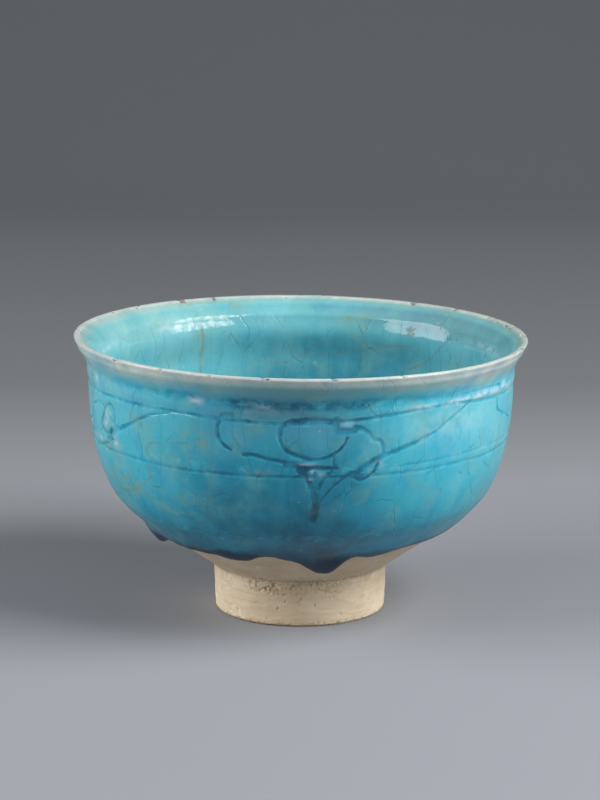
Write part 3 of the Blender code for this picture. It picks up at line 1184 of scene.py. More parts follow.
@dataclass(frozen=True)
class Ring:
    """A line turned round the bowl that wanders a little and is deeper in some places than in others."""

    height: float
    width: float
    strength: float
    # turn, half width in degrees and rise of each slow bend
    bends: tuple[tuple[float, float, float], ...] = ()
    start: float = -180.0
    end: float = 180.0
    fade: float = 6.0
    seed: int = 1
    wander: float = 0.0003

    def nearest(self, heights: Array, spots: Array) -> tuple[Array, Array]:
        """How far each place lies from the line.

        Args:
            heights: Heights, rows by turns.
            spots: The places in space, for the wander.

        Returns:
            Distances in half widths, at most FAR, and the line's strength there.
        """
        flat = spots * (1, 1, 0)
        middle = self.height + self.wander * grain(flat, 0.014, self.seed)
        for turn, half, rise in self.bends:
            middle = middle + rise * facing(turn, half)
        strength = self.strength * (0.8 + 0.35 * grain(flat, 0.011, self.seed + 20, 2))
        if self.end - self.start < 360:
            strength = strength * smooth((TURNS - self.start) / self.fade)
            strength = strength * smooth((self.end - TURNS) / self.fade)
        return np.minimum(np.abs(heights - middle) / (self.width / 2), FAR), strength


@dataclass
class Coat:
    """A coat of glaze: how thick it is, how it thins out on the lip, what it has soaked up, and how its face
    and its back close into a shell.
    """

    finish: GlazeFinish
    coat: float = 0.0005
    coat_end: float = 0.0034
    lip_coat: float = 0.00006
    bare_lip: float = 0.0005
    sink: float = 0.00025
    lip_margin: float = 0.001
    lip_dullness: float = 0.6
    # how far the crazing fades out above a height
    plain_share: float = 1.0
    plain_height: float = 0.0985
    plain_fade: float = 0.003
    stains: Patches = Patches()
    milk: Patches = Patches()
    blue: Patches = Patches()
    dull: Patches = Patches()
    matt: Patches = Patches()
    seams: Seams = Seams()

    def thinned(self, outline: Outline, runs: Array, lift: Array) -> Array:
        """Thin the coat out towards the lip's crest.

        Args:
            outline: The clay under it.
            runs: Runs of the coat's rows.
            lift: Distances off the clay.

        Returns:
            Distances off the clay.
        """
        thinning = smooth((outline.run_at(CLAY.lip_height) - runs) / self.coat_end)
        return self.lip_coat + (lift - self.lip_coat) * thinning

    def shell(
        self, name: str, outline: Outline, runs: Array, lift: Array, back_runs: Array, own: dict[str, Array]
    ) -> bpy.types.Object:
        """Model the coat as a closed shell: the outline at each run, lifted off the clay, and a back that
        returns a little below the clay's surface.

        Args:
            name: The object's name.
            outline: The clay under it.
            runs: Runs of the face, rows by turns.
            lift: Distances of the face off the clay.
            back_runs: Runs of the back, from the face's last row to its first.
            own: This coat's own readings for the finish, beside those that both coats have.

        Returns:
            The object.
        """
        height = outline.at(runs)[1]
        seam, seam_weight = self.seams.nearest(height)
        on_lip = height > CLAY.lip_height - self.lip_margin
        fields = own | {
            "seam": seam,
            "seam_weight": seam_weight,
            "stain": self.stains.cover(height),
            "milk": self.milk.cover(height),
            "blue": self.blue.cover(height),
            "dull": np.where(on_lip, self.lip_dullness * CLAY.dulled(), self.dull.cover(height)),
            "matt": self.matt.cover(height),
            "plain": self.plain_share * smooth((height - self.plain_height) / self.plain_fade),
        }
        ends = Ends.JOINED if outline.side > 0 else Ends.POLES
        back = outline.at(back_runs, -self.sink)
        points = CLAY.spin(*(np.vstack(pair) for pair in zip(outline.at(runs, lift), back)))
        none = np.zeros(back_runs.shape)
        readings = {label: np.vstack([kept, none])[:: outline.side] for label, kept in fields.items()}
        return skinned(name, points[:: outline.side], ends, readings)


@dataclass
class RunningGlaze(Coat):
    """The coat outside: a thick glaze that ran down, filled the cuts and stopped in a roll with drips."""

    roll: float = 0.0012
    roll_length: float = 0.0110
    roll_depth: float = 0.08
    dark_edge: float = 0.0060
    dark_most: float = 1.5
    dark_depth: float = 0.46
    bare_share: float = 0.65
    bare_turn: float = -4.0
    bare_half: float = 8.0
    # painted shade on the front below the lip and on a band under the lip: depth, turn, half width, top, fade
    front_painted_shade: float = 0.20
    front_turn: float = -3.0
    front_half: float = 36.0
    front_top: float = 0.1036
    front_fade: float = 0.0034
    band_painted_shade: float = 0.085
    band_height: float = 0.0980
    band_half: float = 0.0030
    # painted light on the right: how much paler the glaze looks, its turn and half width
    right_painted_light: float = 0.06
    pale_turn: float = 46.0
    pale_half: float = 27.0
    edge_round: float = 0.0021
    edge_height: float = 0.0354
    edge_swing: float = 0.0030
    edge_low_side: float = -52.0
    edge_waver: float = 0.0005
    groove_depth: float = 0.00032
    softness: float = 1.5
    waves: float = 0.00010
    small_waves: float = 0.00005
    # the swelling of the glaze over the upper ring line, highest at one turn
    ridge: float = 0.00030
    ridge_gain: float = 0.00022
    ridge_turn: float = 60.0
    ridge_half: float = 26.0
    ridge_height: float = 0.0948
    ridge_width: float = 0.0020
    # heights between the stretches of rows, and how many rows each has
    row_heights: tuple[float, ...] = (0.0445, 0.0520, 0.0965, 0.1025)
    row_counts: tuple[int, ...] = (5, 68, 10)
    lip_rows: int = 11
    round_rows: int = 9
    edge_rows: int = 20
    # heights, and how deep the glaze looks there
    depths: tuple[tuple[float, float], ...] = (
        (0.030, 0.60),
        (0.040, 0.555),
        (0.046, 0.525),
        (0.056, 0.49),
        (0.070, 0.435),
        (0.084, 0.38),
        (0.093, 0.365),
        (0.0965, 0.32),
        (0.1015, 0.22),
        (0.1040, 0.12),
        (0.1061, 0.05),
        (0.1072, 0.02),
    )
    blunt: float = 2.7
    # turn, half width on each side in degrees, drop, extra thickness
    drips: tuple[tuple[float, float, float, float, float], ...] = (
        (11.2, 10.3, 5.9, 0.0066, 0.0015),
        (-13.0, 6.0, 7.0, -0.0013, -0.0004),
        (28.0, 5.5, 9.0, 0.0015, 0.0002),
        (-24.0, 8.0, 8.0, 0.0005, 0.0009),
        (-75.0, 9.0, 8.5, 0.0010, 0.0025),
        (-108.0, 7.0, 7.0, 0.0026, 0.0006),
        (-141.0, 9.5, 7.0, 0.0068, 0.0012),
        (176.0, 7.0, 7.0, 0.0024, 0.0005),
        (133.0, 7.5, 10.0, 0.0052, 0.0011),
        (92.0, 7.0, 7.0, 0.0020, 0.0004),
    )
    rings: tuple[Ring, ...] = (
        Ring(0.0916, 0.0012, 0.88, bends=((38.0, 20.0, 0.0024), (-5.0, 17.0, -0.0010)), seed=3),
        Ring(0.0708, 0.0011, 0.72, seed=4),
        Ring(0.0734, 0.0010, 0.42, bends=((52.0, 20.0, 0.0008),), start=21.0, end=82.0, seed=6),
        Ring(0.0976, 0.0009, 0.75, bends=((80.0, 20.0, -0.0020),), start=43.0, end=88.0, seed=9),
        Ring(0.0459, 0.0008, 0.22, seed=8),
    )
    neck: Ring = Ring(
        height=0.0994,
        width=0.0048,
        strength=1.0,
        bends=((-2.0, 26.0, -0.0024), (58.0, 20.0, -0.0020), (-48.0, 14.0, -0.0008)),
        seed=7,
    )
    neck_front: float = -6.0
    neck_half: float = 60.0
    neck_elsewhere: float = 0.45
    scroll: Scroll = Scroll()
    stains: Patches = Patches(
        (
            (-63.0, 0.0715, 7.0, 0.0030, 1.0),
            (-56.0, 0.0585, 9.0, 0.0038, 1.9),
            (-66.0, 0.0600, 8.0, 0.0050, 0.6),
            (-31.0, 0.0840, 4.0, 0.0035, 0.7),
            (-26.5, 0.0815, 4.0, 0.0060, 0.8),
            (-16.5, 0.0800, 2.5, 0.0025, 0.7),
            (-31.0, 0.0585, 5.0, 0.0050, 0.6),
            (-9.9, 0.0725, 3.0, 0.0016, 0.6),
            (-15.0, 0.0600, 5.0, 0.0040, 0.4),
            (-47.0, 0.0860, 4.0, 0.0030, 0.4),
            (-36.0, 0.0520, 8.0, 0.0045, 0.55),
            (20.3, 0.0800, 1.3, 0.0028, 0.9),
            (5.0, 0.0577, 4.0, 0.0030, 0.4),
            (-52.0, 0.1060, 7.0, 0.0016, 0.9),
            (-33.0, 0.1055, 14.0, 0.0012, 0.5),
            (60.0, 0.1070, 10.0, 0.0008, 0.6),
            (120.0, 0.0600, 14.0, 0.0080, 0.7),
            (150.0, 0.0850, 12.0, 0.0060, 0.8),
            (-130.0, 0.0700, 12.0, 0.0070, 0.8),
        )
    )
    # milky weathered glaze, and painted highlights and glints: the highlight along the ridge at the right and
    # glints in the cuts
    milk: Patches = Patches(
        (
            (-27.4, 0.0971, 1.9, 0.0014, 0.8),
            (-9.0, 0.0966, 2.2, 0.0008, 0.4),
            (34.0, 0.0947, 6.0, 0.0008, 0.75),
            (45.5, 0.0948, 5.0, 0.0012, 0.90),
            (55.0, 0.0952, 5.0, 0.0014, 0.80),
            (65.0, 0.0947, 5.0, 0.0015, 0.85),
            (75.0, 0.0934, 5.0, 0.0017, 0.75),
            (67.8, 0.0968, 1.5, 0.0006, 0.7),
            (-68.5, 0.0960, 0.9, 0.0016, 0.8),
            (3.3, 0.0726, 0.9, 0.0009, 0.75),
            (5.1, 0.0718, 0.8, 0.0007, 0.65),
            (2.6, 0.0700, 0.6, 0.0006, 0.8),
            (1.5, 0.0757, 3.0, 0.0005, 0.5),
            (11.7, 0.0903, 1.9, 0.0011, 0.30),
            (20.8, 0.0747, 1.2, 0.0012, 0.5),
            (17.6, 0.0727, 0.7, 0.0004, 0.9),
            (-61.7, 0.0845, 1.5, 0.0018, 0.8),
            (-62.8, 0.0802, 1.3, 0.0016, 0.8),
            (-69.9, 0.0732, 2.4, 0.0012, 0.65),
            (-58.4, 0.0742, 1.3, 0.0018, 0.65),
            (42.0, 0.0860, 16.0, 0.0060, 0.20),
            (160.0, 0.0955, 16.0, 0.0020, 0.55),
            (-120.0, 0.0700, 10.0, 0.0020, 0.4),
        )
    )
    blue: Patches = Patches(
        (
            (11.0, 0.0878, 2.6, 0.0012, 0.95),
            (8.8, 0.0898, 0.9, 0.0020, 0.95),
            (16.5, 0.0744, 1.7, 0.0012, 0.85),
            (-2.8, 0.0760, 1.4, 0.0012, 0.60),
            (36.0, 0.0980, 9.0, 0.0012, 0.55),
            (50.0, 0.0968, 8.0, 0.0011, 0.50),
            (-44.0, 0.0985, 14.0, 0.0012, 0.25),
            (-22.0, 0.0735, 5.0, 0.0060, 0.35),
            (40.0, 0.0420, 22.0, 0.0055, 0.50),
            (-140.0, 0.0820, 9.0, 0.0050, 0.40),
            (110.0, 0.0640, 8.0, 0.0040, 0.35),
        )
    )
    # dulled glaze; the patch under the lip at the front is painted shade and a painted reflection of the grey
    # floor
    dull: Patches = Patches(
        (
            (-4.0, 0.1022, 24.0, 0.0034, 0.42),
            (-9.0, 0.0943, 17.0, 0.0018, 0.26),
            (-4.0, 0.0890, 28.0, 0.0080, 0.10),
            (5.0, 0.0870, 9.0, 0.0080, 0.10),
            (-50.0, 0.0960, 30.0, 0.0080, 0.08),
            (150.0, 0.0900, 60.0, 0.0300, 0.15),
        )
    )
    seams: Seams = Seams(
        0.0,
        (
            Stroke(((-43.9, 0.0728), (-44.4, 0.0757), (-42.0, 0.0785), (-37.9, 0.0790), (-32.7, 0.0804),
                    (-29.7, 0.0802)), 0.0008, 0.0006, 0.65),
            Stroke(((-29.5, 0.0846), (-30.3, 0.0801), (-29.9, 0.0758), (-30.1, 0.0713)), 0.0007, 0.0006,
                    0.60),
            Stroke(((-37.7, 0.0816), (-37.6, 0.0772)), 0.0006, 0.0006, 0.55),
            Stroke(((-44.4, 0.0689), (-44.2, 0.0652), (-49.6, 0.0599), (-56.8, 0.0563), (-63.5, 0.0551)),
                    0.0010, 0.0014, 0.80),
            Stroke(((-22.6, 0.0740), (-23.9, 0.0693), (-24.8, 0.0647)), 0.0006, 0.0006, 0.50),
            Stroke(((-35.3, 0.0596), (-33.3, 0.0583), (-31.3, 0.0565)), 0.0008, 0.0006, 0.60),
            Stroke(((15.8, 0.0596), (19.0, 0.0572), (22.0, 0.0545), (21.8, 0.0520)), 0.0006, 0.0005, 0.50),
            Stroke(((128.0, 0.0930), (124.0, 0.0850), (129.0, 0.0760), (126.0, 0.0690)), 0.0008, 0.0006,
                    0.60),
            Stroke(((-118.0, 0.0860), (-123.0, 0.0790), (-120.0, 0.0700), (-127.0, 0.0640)), 0.0008, 0.0006,
                    0.55),
        ),
    )
    # strengths here are how much less deep the glaze looks
    paler: Patches = Patches(
        (
            (25.0, 0.0540, 13.0, 0.0090, 0.055),
            (38.0, 0.0640, 12.0, 0.0080, 0.025),
            (55.0, 0.1030, 26.0, 0.0035, 0.040),
            (-55.0, 0.1030, 24.0, 0.0035, 0.040),
            (-16.0, 0.0415, 16.0, 0.0040, 0.070),
            (-52.0, 0.0965, 18.0, 0.0026, 0.050),
            (-40.0, 0.0860, 12.0, 0.0100, 0.015),
        )
    )
    # and here how much deeper: the pool in the front drip, the one in the drip at the left, and painted shade
    # on the front above the upper ring line
    deeper: Patches = Patches(
        (
            (11.6, 0.0302, 5.4, 0.0040, 0.50),
            (-75.0, 0.0320, 8.0, 0.0040, 0.30),
            (-2.0, 0.0935, 15.0, 0.0050, 0.035),
        )
    )
    finish: GlazeFinish = GlazeFinish("running_glaze_finish")

    def edge(self) -> tuple[Array, Array]:
        """Height of the coat's lower edge and thickness of its roll at each turn.

        The edge is a mean height less a slow swing round the bowl, less a blunt bell for each drip.

        Returns:
            Heights and thicknesses.
        """
        height = self.edge_height - self.edge_swing * np.cos(np.radians(TURNS - self.edge_low_side))
        thickness = np.full(COLUMNS, self.roll)
        for middle, before, after, drop, extra in self.drips:
            off = apart(middle)
            hang = np.exp(-(np.abs(off / np.where(off < 0, before, after)) ** self.blunt))
            height = height - drop * hang
            thickness = thickness + extra * hang
        circle = np.stack([np.sin(np.radians(TURNS)), np.cos(np.radians(TURNS)), 0 * TURNS], -1)
        height = height + self.edge_waver * grain(circle, 0.11, 31, 3)
        return height, thickness * (1 + 0.18 * grain(circle, 0.15, 37, 2))

    def rows(self, outline: Outline, edge: Array) -> tuple[Array, Array]:
        """The runs of the coat's rows at each turn, from its lower edge up to the lip, and its rounding.

        Args:
            outline: The clay outside.
            edge: Run of the lower edge at each turn.

        Returns:
            Runs, rows by turns, and for each row how far the rounded end has opened, from 0 to 1.
        """
        opening = np.linspace(0, math.pi / 2, self.round_rows)
        rounded = edge + self.edge_round * (1 - np.cos(opening))[:, None]
        climb = (np.linspace(0, 1, self.edge_rows + 1)[1:] ** 1.25)[:, None]
        marks = [outline.run_at(height) for height in self.row_heights]
        lower = edge + self.edge_round + (marks[0] - edge - self.edge_round) * climb
        marks.append(outline.length - self.bare_lip)
        spans = [
            np.linspace(low, high, count + 1)[1:]
            for low, high, count in zip(marks, marks[1:], (*self.row_counts, self.lip_rows))
        ]
        runs = np.vstack([rounded, lower, np.concatenate(spans)[:, None] + 0 * edge])
        opened = np.ones(len(runs))
        opened[: len(opening)] = np.sin(opening)
        return runs, opened[:, None]

    def depth(self, height: Array, roll_share: Array, edge_share: Array) -> Array:
        """How deep the glaze looks: thin on the lip, deeper down the wall, deepest at its edge, with painted
        shade on the front and painted light on the right.

        Args:
            height: Heights, rows by turns.
            roll_share: 1 in the roll, falling to 0 above it.
            edge_share: 1 along the lower edge, falling to 0 just above it.

        Returns:
            Numbers from 0 to 1.
        """
        # band and front are painted shade on the front; side is painted light on the right, with the paler
        # and deeper patches
        band = self.band_painted_shade * bell(height, self.band_height, self.band_half)
        below_lip = 1 - smooth((height - self.front_top) / self.front_fade)
        front = (self.front_painted_shade * below_lip + band) * facing(self.front_turn, self.front_half)
        side = self.right_painted_light * facing(self.pale_turn, self.pale_half)
        side = side + self.paler.cover(height) - self.deeper.cover(height)
        tone = np.interp(height, *zip(*self.depths))
        return tone + front - side + self.roll_depth * roll_share + self.dark_depth * edge_share

    def cuts(self, height: Array, spots: Array) -> tuple[Array, Array]:
        """How far each place lies from the nearest line of the scroll or the rings.

        Args:
            height: Heights, rows by turns.
            spots: Places in space.

        Returns:
            Distances in half widths, at most FAR, and that line's strength.
        """
        off, weight = self.scroll.nearest(height)
        for ring in self.rings:
            ring_off, ring_weight = ring.nearest(height, spots)
            weight = np.where(ring_off < off, ring_weight, weight)
            off = np.minimum(off, ring_off)
        return off, weight

    def build(self) -> bpy.types.Object:
        """Model the coat as a closed shell. Its lift off the clay is a joint's gap, the coat's thickness,
        which grows into the roll at the edge, slow waves and the ridge, less the grooves over the cuts.

        Returns:
            The object running_glaze.
        """
        outline = CLAY.outside()
        edge_height, roll = self.edge()
        edge = outline.run_at(edge_height)
        runs, opened = self.rows(outline, edge)
        radius, height = outline.at(runs)
        spots = CLAY.spin(radius, height)

        roll_share = 1 - smooth((runs - edge - self.edge_round) / self.roll_length)
        bare = 1 - self.bare_share * facing(self.bare_turn, self.bare_half)
        dark = self.dark_edge * np.minimum(roll / self.roll, self.dark_most) * bare
        dark = dark * (1 + 0.45 * grain(spots, 0.0060, 17, 3))
        edge_share = 1 - smooth((runs - edge - 0.25 * dark) / (0.75 * dark))
        off, weight = self.cuts(height, spots)
        neck_off, neck_weight = self.neck.nearest(height, spots)
        forward = facing(self.neck_front, self.neck_half)
        forward = self.neck_elsewhere + (1 - self.neck_elsewhere) * forward
        neck = np.exp(-(neck_off**2)) * neck_weight * forward

        groove = np.maximum((1 - smooth(off / self.softness)) * weight, 0.9 * neck)
        waves = self.waves * grain(spots, 0.016, 11) + self.small_waves * grain(spots, 0.0052, 13, 2)
        ridge = self.ridge + self.ridge_gain * facing(self.ridge_turn, self.ridge_half)
        ridge = ridge * bell(height, self.ridge_height, self.ridge_width)
        ridge = ridge * (1 + 0.5 * grain(spots, 0.006, 15))
        thick = self.coat + (roll - self.coat) * roll_share
        lift = CLAY.joint_gap + thick + waves + ridge - self.groove_depth * groove
        worn, nick = CLAY.worn(spots, height)
        lift = self.thinned(outline, runs, lift) * opened - self.sink * (1 - opened) - worn
        lift[-1] = -self.sink - worn[-1]

        back_shares = np.concatenate([np.linspace(1, 0.72, 8), np.linspace(0.72, 0, 7)[1:]])
        back_runs = edge + (runs[-1] - edge) * back_shares[:, None]
        depth = self.depth(height, roll_share, edge_share)
        own = {"depth": depth, "line": off, "line_weight": weight, "pool": neck, "nick": nick}
        return self.shell("running_glaze", outline, runs, lift, back_runs, own)

    def dress(self, piece: bpy.types.Object) -> None:
        """Give the coat its glaze and its place in the frame.

        Args:
            piece: The object that build made.
        """
        piece.data.materials.append(self.finish.material())
        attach(piece, "root")
        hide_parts("outer_glaze")


@dataclass
class WellGlaze(Coat):
    """The coat inside, from the lip over its shoulder and down the wall to the pool in the well."""

    pool: float = 0.0012
    pool_radius: float = 0.035
    # the glaze that gathered under the lip: where it begins, is thickest and ends
    gather: float = 0.0018
    gather_low: float = 0.0820
    gather_crown: float = 0.0945
    gather_high: float = 0.1034
    swell: float = 0.20
    swell_turn: float = -144.0
    swell_half: float = 14.0
    ripple: float = 0.00010
    ripple_height: float = 0.0985
    ripple_width: float = 0.0040
    ripple_turn: float = -150.0
    ripple_half: float = 16.0
    waves: float = 0.00010
    small_waves: float = 0.00004
    rings: float = 0.00004
    middle: float = 0.0006
    # heights between the stretches of rows, and how many rows each has
    row_heights: tuple[float, float] = (0.0600, 0.0965)
    row_counts: tuple[int, int, int] = (46, 38, 32)
    back_rows: int = 16
    # heights, and how deep the glaze looks there; the darker band at the top of the inner lip is painted
    # shade
    depths: tuple[tuple[float, float], ...] = (
        (0.021, 0.68),
        (0.030, 0.65),
        (0.050, 0.61),
        (0.070, 0.56),
        (0.092, 0.46),
        (0.099, 0.38),
        (0.1015, 0.37),
        (0.1040, 0.41),
        (0.1068, 0.24),
        (0.1076, 0.03),
    )
    # painted shade at the right under the lip, and painted light at the left: depth, turn and half width of
    # each
    shade: float = 0.12
    shade_turn: float = 138.0
    shade_half: float = 46.0
    shade_low: float = 0.094
    shade_fade: float = 0.006
    light: float = 0.12
    light_turn: float = -118.0
    light_half: float = 50.0
    # painted shade on the back of the wall and painted light on its right: depth, turn and half width in
    # degrees of each
    wall_shade_and_light: tuple[tuple[float, float, float], ...] = ((0.08, 178.0, 30.0), (-0.06, 110.0, 40.0))
    wall_top: float = 0.097
    wall_fade: float = 0.008
    plain_share: float = 0.75
    plain_height: float = 0.0980
    finish: GlazeFinish = GlazeFinish(
        "well_glaze_finish",
        stops=(
            (0.00, (0.59, 0.63, 0.60)),
            (0.12, (0.38, 0.52, 0.49)),
            (0.28, (0.185, 0.46, 0.485)),
            (0.44, (0.095, 0.37, 0.43)),
            (0.58, (0.040, 0.24, 0.32)),
            (0.74, (0.014, 0.12, 0.19)),
            (0.88, (0.008, 0.055, 0.10)),
        ),
        blue_share=0.12,
        gloss=0.06,
    )
    stains: Patches = Patches(
        (
            (-150.0, 0.1010, 6.0, 0.0020, 0.9),
            (-160.0, 0.1050, 4.0, 0.0016, 0.9),
            (-148.3, 0.0880, 1.0, 0.0090, 0.9),
            (-148.5, 0.0945, 2.6, 0.0016, 1.0),
            (-162.8, 0.1024, 4.0, 0.0014, 0.9),
            (-150.0, 0.1068, 7.0, 0.0010, 0.9),
            (165.2, 0.1002, 1.6, 0.0010, 1.0),
            (160.0, 0.1010, 2.2, 0.0013, 1.0),
            (160.0, 0.0966, 1.4, 0.0012, 0.9),
            (144.5, 0.0972, 2.0, 0.0014, 1.0),
            (154.8, 0.0893, 9.0, 0.0012, 0.7),
            (141.0, 0.0838, 3.0, 0.0014, 0.9),
            (120.0, 0.0850, 6.0, 0.0030, 0.7),
            (150.0, 0.1065, 12.0, 0.0012, 0.7),
            (105.0, 0.1070, 16.0, 0.0010, 0.7),
        )
    )
    milk: Patches = Patches(
        (
            (-100.0, 0.0985, 14.0, 0.0012, 0.5),
            (-140.0, 0.0992, 10.0, 0.0014, 0.5),
            (104.0, 0.0985, 14.0, 0.0012, 0.5),
        )
    )
    dull: Patches = Patches(
        (
            (138.0, 0.1025, 40.0, 0.0055, 0.34),
            (100.0, 0.0850, 36.0, 0.0300, 0.10),
        )
    )
    seams: Seams = Seams(
        180.0,
        (
            Stroke(((32.0, 0.0969), (31.5, 0.0915), (32.2, 0.0848), (32.5, 0.0792), (32.4, 0.0730)), 0.0012,
                    0.0009, 0.80),
            Stroke(((13.8, 0.0818), (4.3, 0.0808), (-1.0, 0.0845), (-10.2, 0.0855), (-18.2, 0.0869),
                    (-25.2, 0.0893), (-34.8, 0.0911)), 0.0007, 0.0010, 0.70),
            Stroke(((-1.0, 0.0845), (-4.2, 0.0886), (-10.2, 0.0907)), 0.0009, 0.0006, 0.55),
            Stroke(((-34.5, 0.0811), (-39.2, 0.0838), (-43.2, 0.0872), (-48.5, 0.0936), (-53.2, 0.0991)),
                    0.0012, 0.0006, 0.65),
            Stroke(((-20.0, 0.1006), (-20.5, 0.0958), (-19.8, 0.0897), (-19.5, 0.0862)), 0.0007, 0.0006,
                    0.60),
            Stroke(((-34.2, 0.0981), (-35.5, 0.0972), (-37.0, 0.0964)), 0.0010, 0.0008, 1.0),
            Stroke(((-34.2, 0.0955), (-35.5, 0.0972), (-36.9, 0.0988)), 0.0010, 0.0008, 1.0),
            Stroke(((-35.3, 0.0991), (-35.5, 0.0972), (-36.1, 0.0954)), 0.0009, 0.0007, 1.0),
            Stroke(((18.0, 0.0897), (15.5, 0.0808), (14.0, 0.0766)), 0.0007, 0.0006, 0.55),
            Stroke(((-150.0, 0.0900), (-146.0, 0.0800), (-151.0, 0.0700), (-147.0, 0.0600)), 0.0008, 0.0006,
                    0.60),
        ),
    )
    # worn places that lost their shine
    matt: Patches = Patches(((-168.0, 0.1012, 10.0, 0.0022, 1.0), (-147.0, 0.0985, 13.0, 0.0050, 0.85)))

    def depth(self, height: Array) -> Array:
        """How deep the glaze looks: deepest in the well, with painted shade at the right under the lip and on
        the back of the wall, and painted light at the left and on the right of the wall.

        Args:
            height: Heights, rows by turns.

        Returns:
            Numbers from 0 to 1.
        """
        # painted shade and painted light, laid over the glaze's depth
        shade = self.shade * facing(self.shade_turn, self.shade_half)
        shade = shade * smooth((height - self.shade_low) / self.shade_fade)
        shade = shade - self.light * facing(self.light_turn, self.light_half)
        wall = sum(tone * facing(turn, half) for tone, turn, half in self.wall_shade_and_light)
        shade = shade + wall * smooth((self.wall_top - height) / self.wall_fade)
        return np.interp(height, *zip(*self.depths)) + shade * (height < CLAY.lip_height)

    def build(self) -> bpy.types.Object:
        """Model the coat as a closed shell. Its lift off the clay is a joint's gap, the coat's thickness,
        slow waves and turning rings, the glaze gathered under the lip and the pool in the well.

        Returns:
            The object well_glaze.
        """
        outline = CLAY.inside()
        low, shoulder = (outline.run_at(height) for height in self.row_heights)
        marks = [self.middle, low, shoulder, outline.length - self.bare_lip]
        spans = zip(marks, marks[1:], self.row_counts, (False, False, True))
        runs = np.concatenate([np.linspace(*span, endpoint=last) for *span, last in spans])
        runs = runs[:, None] + 0 * TURNS
        radius, height = outline.at(runs)
        spots = CLAY.spin(radius, height)

        waves = self.waves * grain(spots, 0.018, 41) + self.small_waves * grain(spots, 0.006, 43, 2)
        rippled = bell(height, self.ripple_height, self.ripple_width)
        rippled = rippled * (0.40 + 0.40 * facing(self.ripple_turn, self.ripple_half))
        waves = waves + self.ripple * rippled * grain(spots, 0.0040, 44, 2)
        rings = self.rings * grain(spots * (0.1, 0.1, 1), 0.004, 47)
        rise = smooth((height - self.gather_low) / (self.gather_crown - self.gather_low))
        fall = smooth((height - self.gather_crown) / (self.gather_high - self.gather_crown))
        swell = 1 + self.swell * facing(self.swell_turn, self.swell_half)
        gathered = self.gather * rise * (1 - fall) * swell * (1 + 0.25 * grain(spots, 0.03, 45))
        pooled = self.pool * (1 - smooth(runs / self.pool_radius))
        lift = CLAY.joint_gap + self.coat + waves + rings + gathered + pooled
        worn, nick = CLAY.worn(spots, height)
        lift = self.thinned(outline, runs, lift) - worn
        lift[-1] = -self.sink - worn[-1]

        back_runs = np.linspace(runs[-1], runs[0], self.back_rows + 1)[1:]
        none = 0 * height
        own = {"line": none + FAR, "line_weight": none, "pool": none, "nick": nick}
        own["depth"] = self.depth(height)
        return self.shell("well_glaze", outline, runs, lift, back_runs, own)

    def dress(self, piece: bpy.types.Object) -> None:
        """Give the coat its glaze and its place in the frame.

        Args:
            piece: The object that build made.
        """
        piece.data.materials.append(self.finish.material())
        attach(piece, "root")
        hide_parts("inner_glaze")


@dataclass
class TurnedBowl:
    """The clay: bare underside with its turning marks, worn crest of the lip, ceiling inside the foot."""

    finish: PasteFinish = PasteFinish("stonepaste_finish")
    bare_height: float = 0.0400
    crest_depth: float = 0.0015
    middle: float = 0.0006
    bare_rows: int = 44
    mark_depth: float = 0.00008
    pit_depth: float = 0.00030
    grime_width: float = 0.0016
    grime_turn: float = 8.0
    grime_half: float = 26.0
    bare_dullness: float = 0.3

    def ceiling(self) -> Array:
        """Profile of the clay inside the foot: level in the middle, then rising to the seat's edge.

        Returns:
            (radius, height) pairs.
        """
        flat, edge = CLAY.ceiling_flat, CLAY.seat_edge
        radius = np.append(np.linspace(self.middle, flat, 8, endpoint=False), np.linspace(flat, edge, 16))
        heights = [CLAY.seat_height - CLAY.ceiling_drop, CLAY.seat_height]
        return np.stack([radius, np.interp(radius, [flat, edge], heights)], -1)

    def build(self) -> bpy.types.Object:
        """Model the clay as one closed skin from the ceiling's middle round the lip to the well's middle.
        Its profile is moved along its normal by turning marks and pits where it is bare, less the lip's wear.

        Returns:
            The object turned_bowl.
        """
        outside, inside = CLAY.outside(), CLAY.inside()
        bare = outside.run_at(self.bare_height)
        outer_rim, inner_rim = (side.run_at(CLAY.lip_height - self.crest_depth) for side in (outside, inside))
        under = [self.ceiling(), outside.stretch(0, bare, self.bare_rows)]
        covered = outside.stretch(bare, outer_rim, 12)[1:-1]
        outer_crest = outside.stretch(outer_rim, outside.length, 13)
        crest = [outer_crest, inside.stretch(inside.length, inner_rim, 13)[1:]]
        inner = inside.stretch(inner_rim, self.middle, 16)[1:]
        profile = np.vstack([*under, covered, *crest, inner])
        row = np.arange(len(profile))[:, None]
        bare_end = sum(map(len, under))
        crest_start = bare_end + len(covered)
        crest_end = crest_start + sum(map(len, crest))
        is_bare = (row > 0) & (row < bare_end)
        is_crest = (row >= crest_start) & (row < crest_end)

        radius, height = carried(profile)
        spots = CLAY.spin(radius, height)
        marks = self.mark_depth * grain(spots * (0.15, 0.15, 1), 0.0011, 51, 2)
        pits = -self.pit_depth * smooth((grain(spots, 0.0016, 53, 2) - 0.45) / 0.25)
        worn, nick = CLAY.worn(spots, height)
        lift = is_bare * (marks + pits) - worn
        normal = outward(np.gradient(profile, axis=0))
        points = CLAY.spin(radius + normal[:, :1] * lift, height + normal[:, 1:] * lift)
        readings = {
            "grime": self.grime(height) * is_bare,
            "crest": is_crest,
            "dull": CLAY.dulled() * is_crest + self.bare_dullness * is_bare,
            "nick": nick,
        }
        return skinned("turned_bowl", points, Ends.POLES, readings)

    def grime(self, height: Array) -> Array:
        """Brown dirt that lodged along the joint with the foot, most of it at the front."""
        most = 0.25 + 0.75 * facing(self.grime_turn, self.grime_half)
        return bell(height, CLAY.seat_height, self.grime_width) * most

    def dress(self, piece: bpy.types.Object) -> None:
        """Give the clay its finish and its place in the frame.

        Args:
            piece: The object that build made.
        """
        piece.data.materials.append(self.finish.material())
        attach(piece, "root")
        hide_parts("bowl_body")


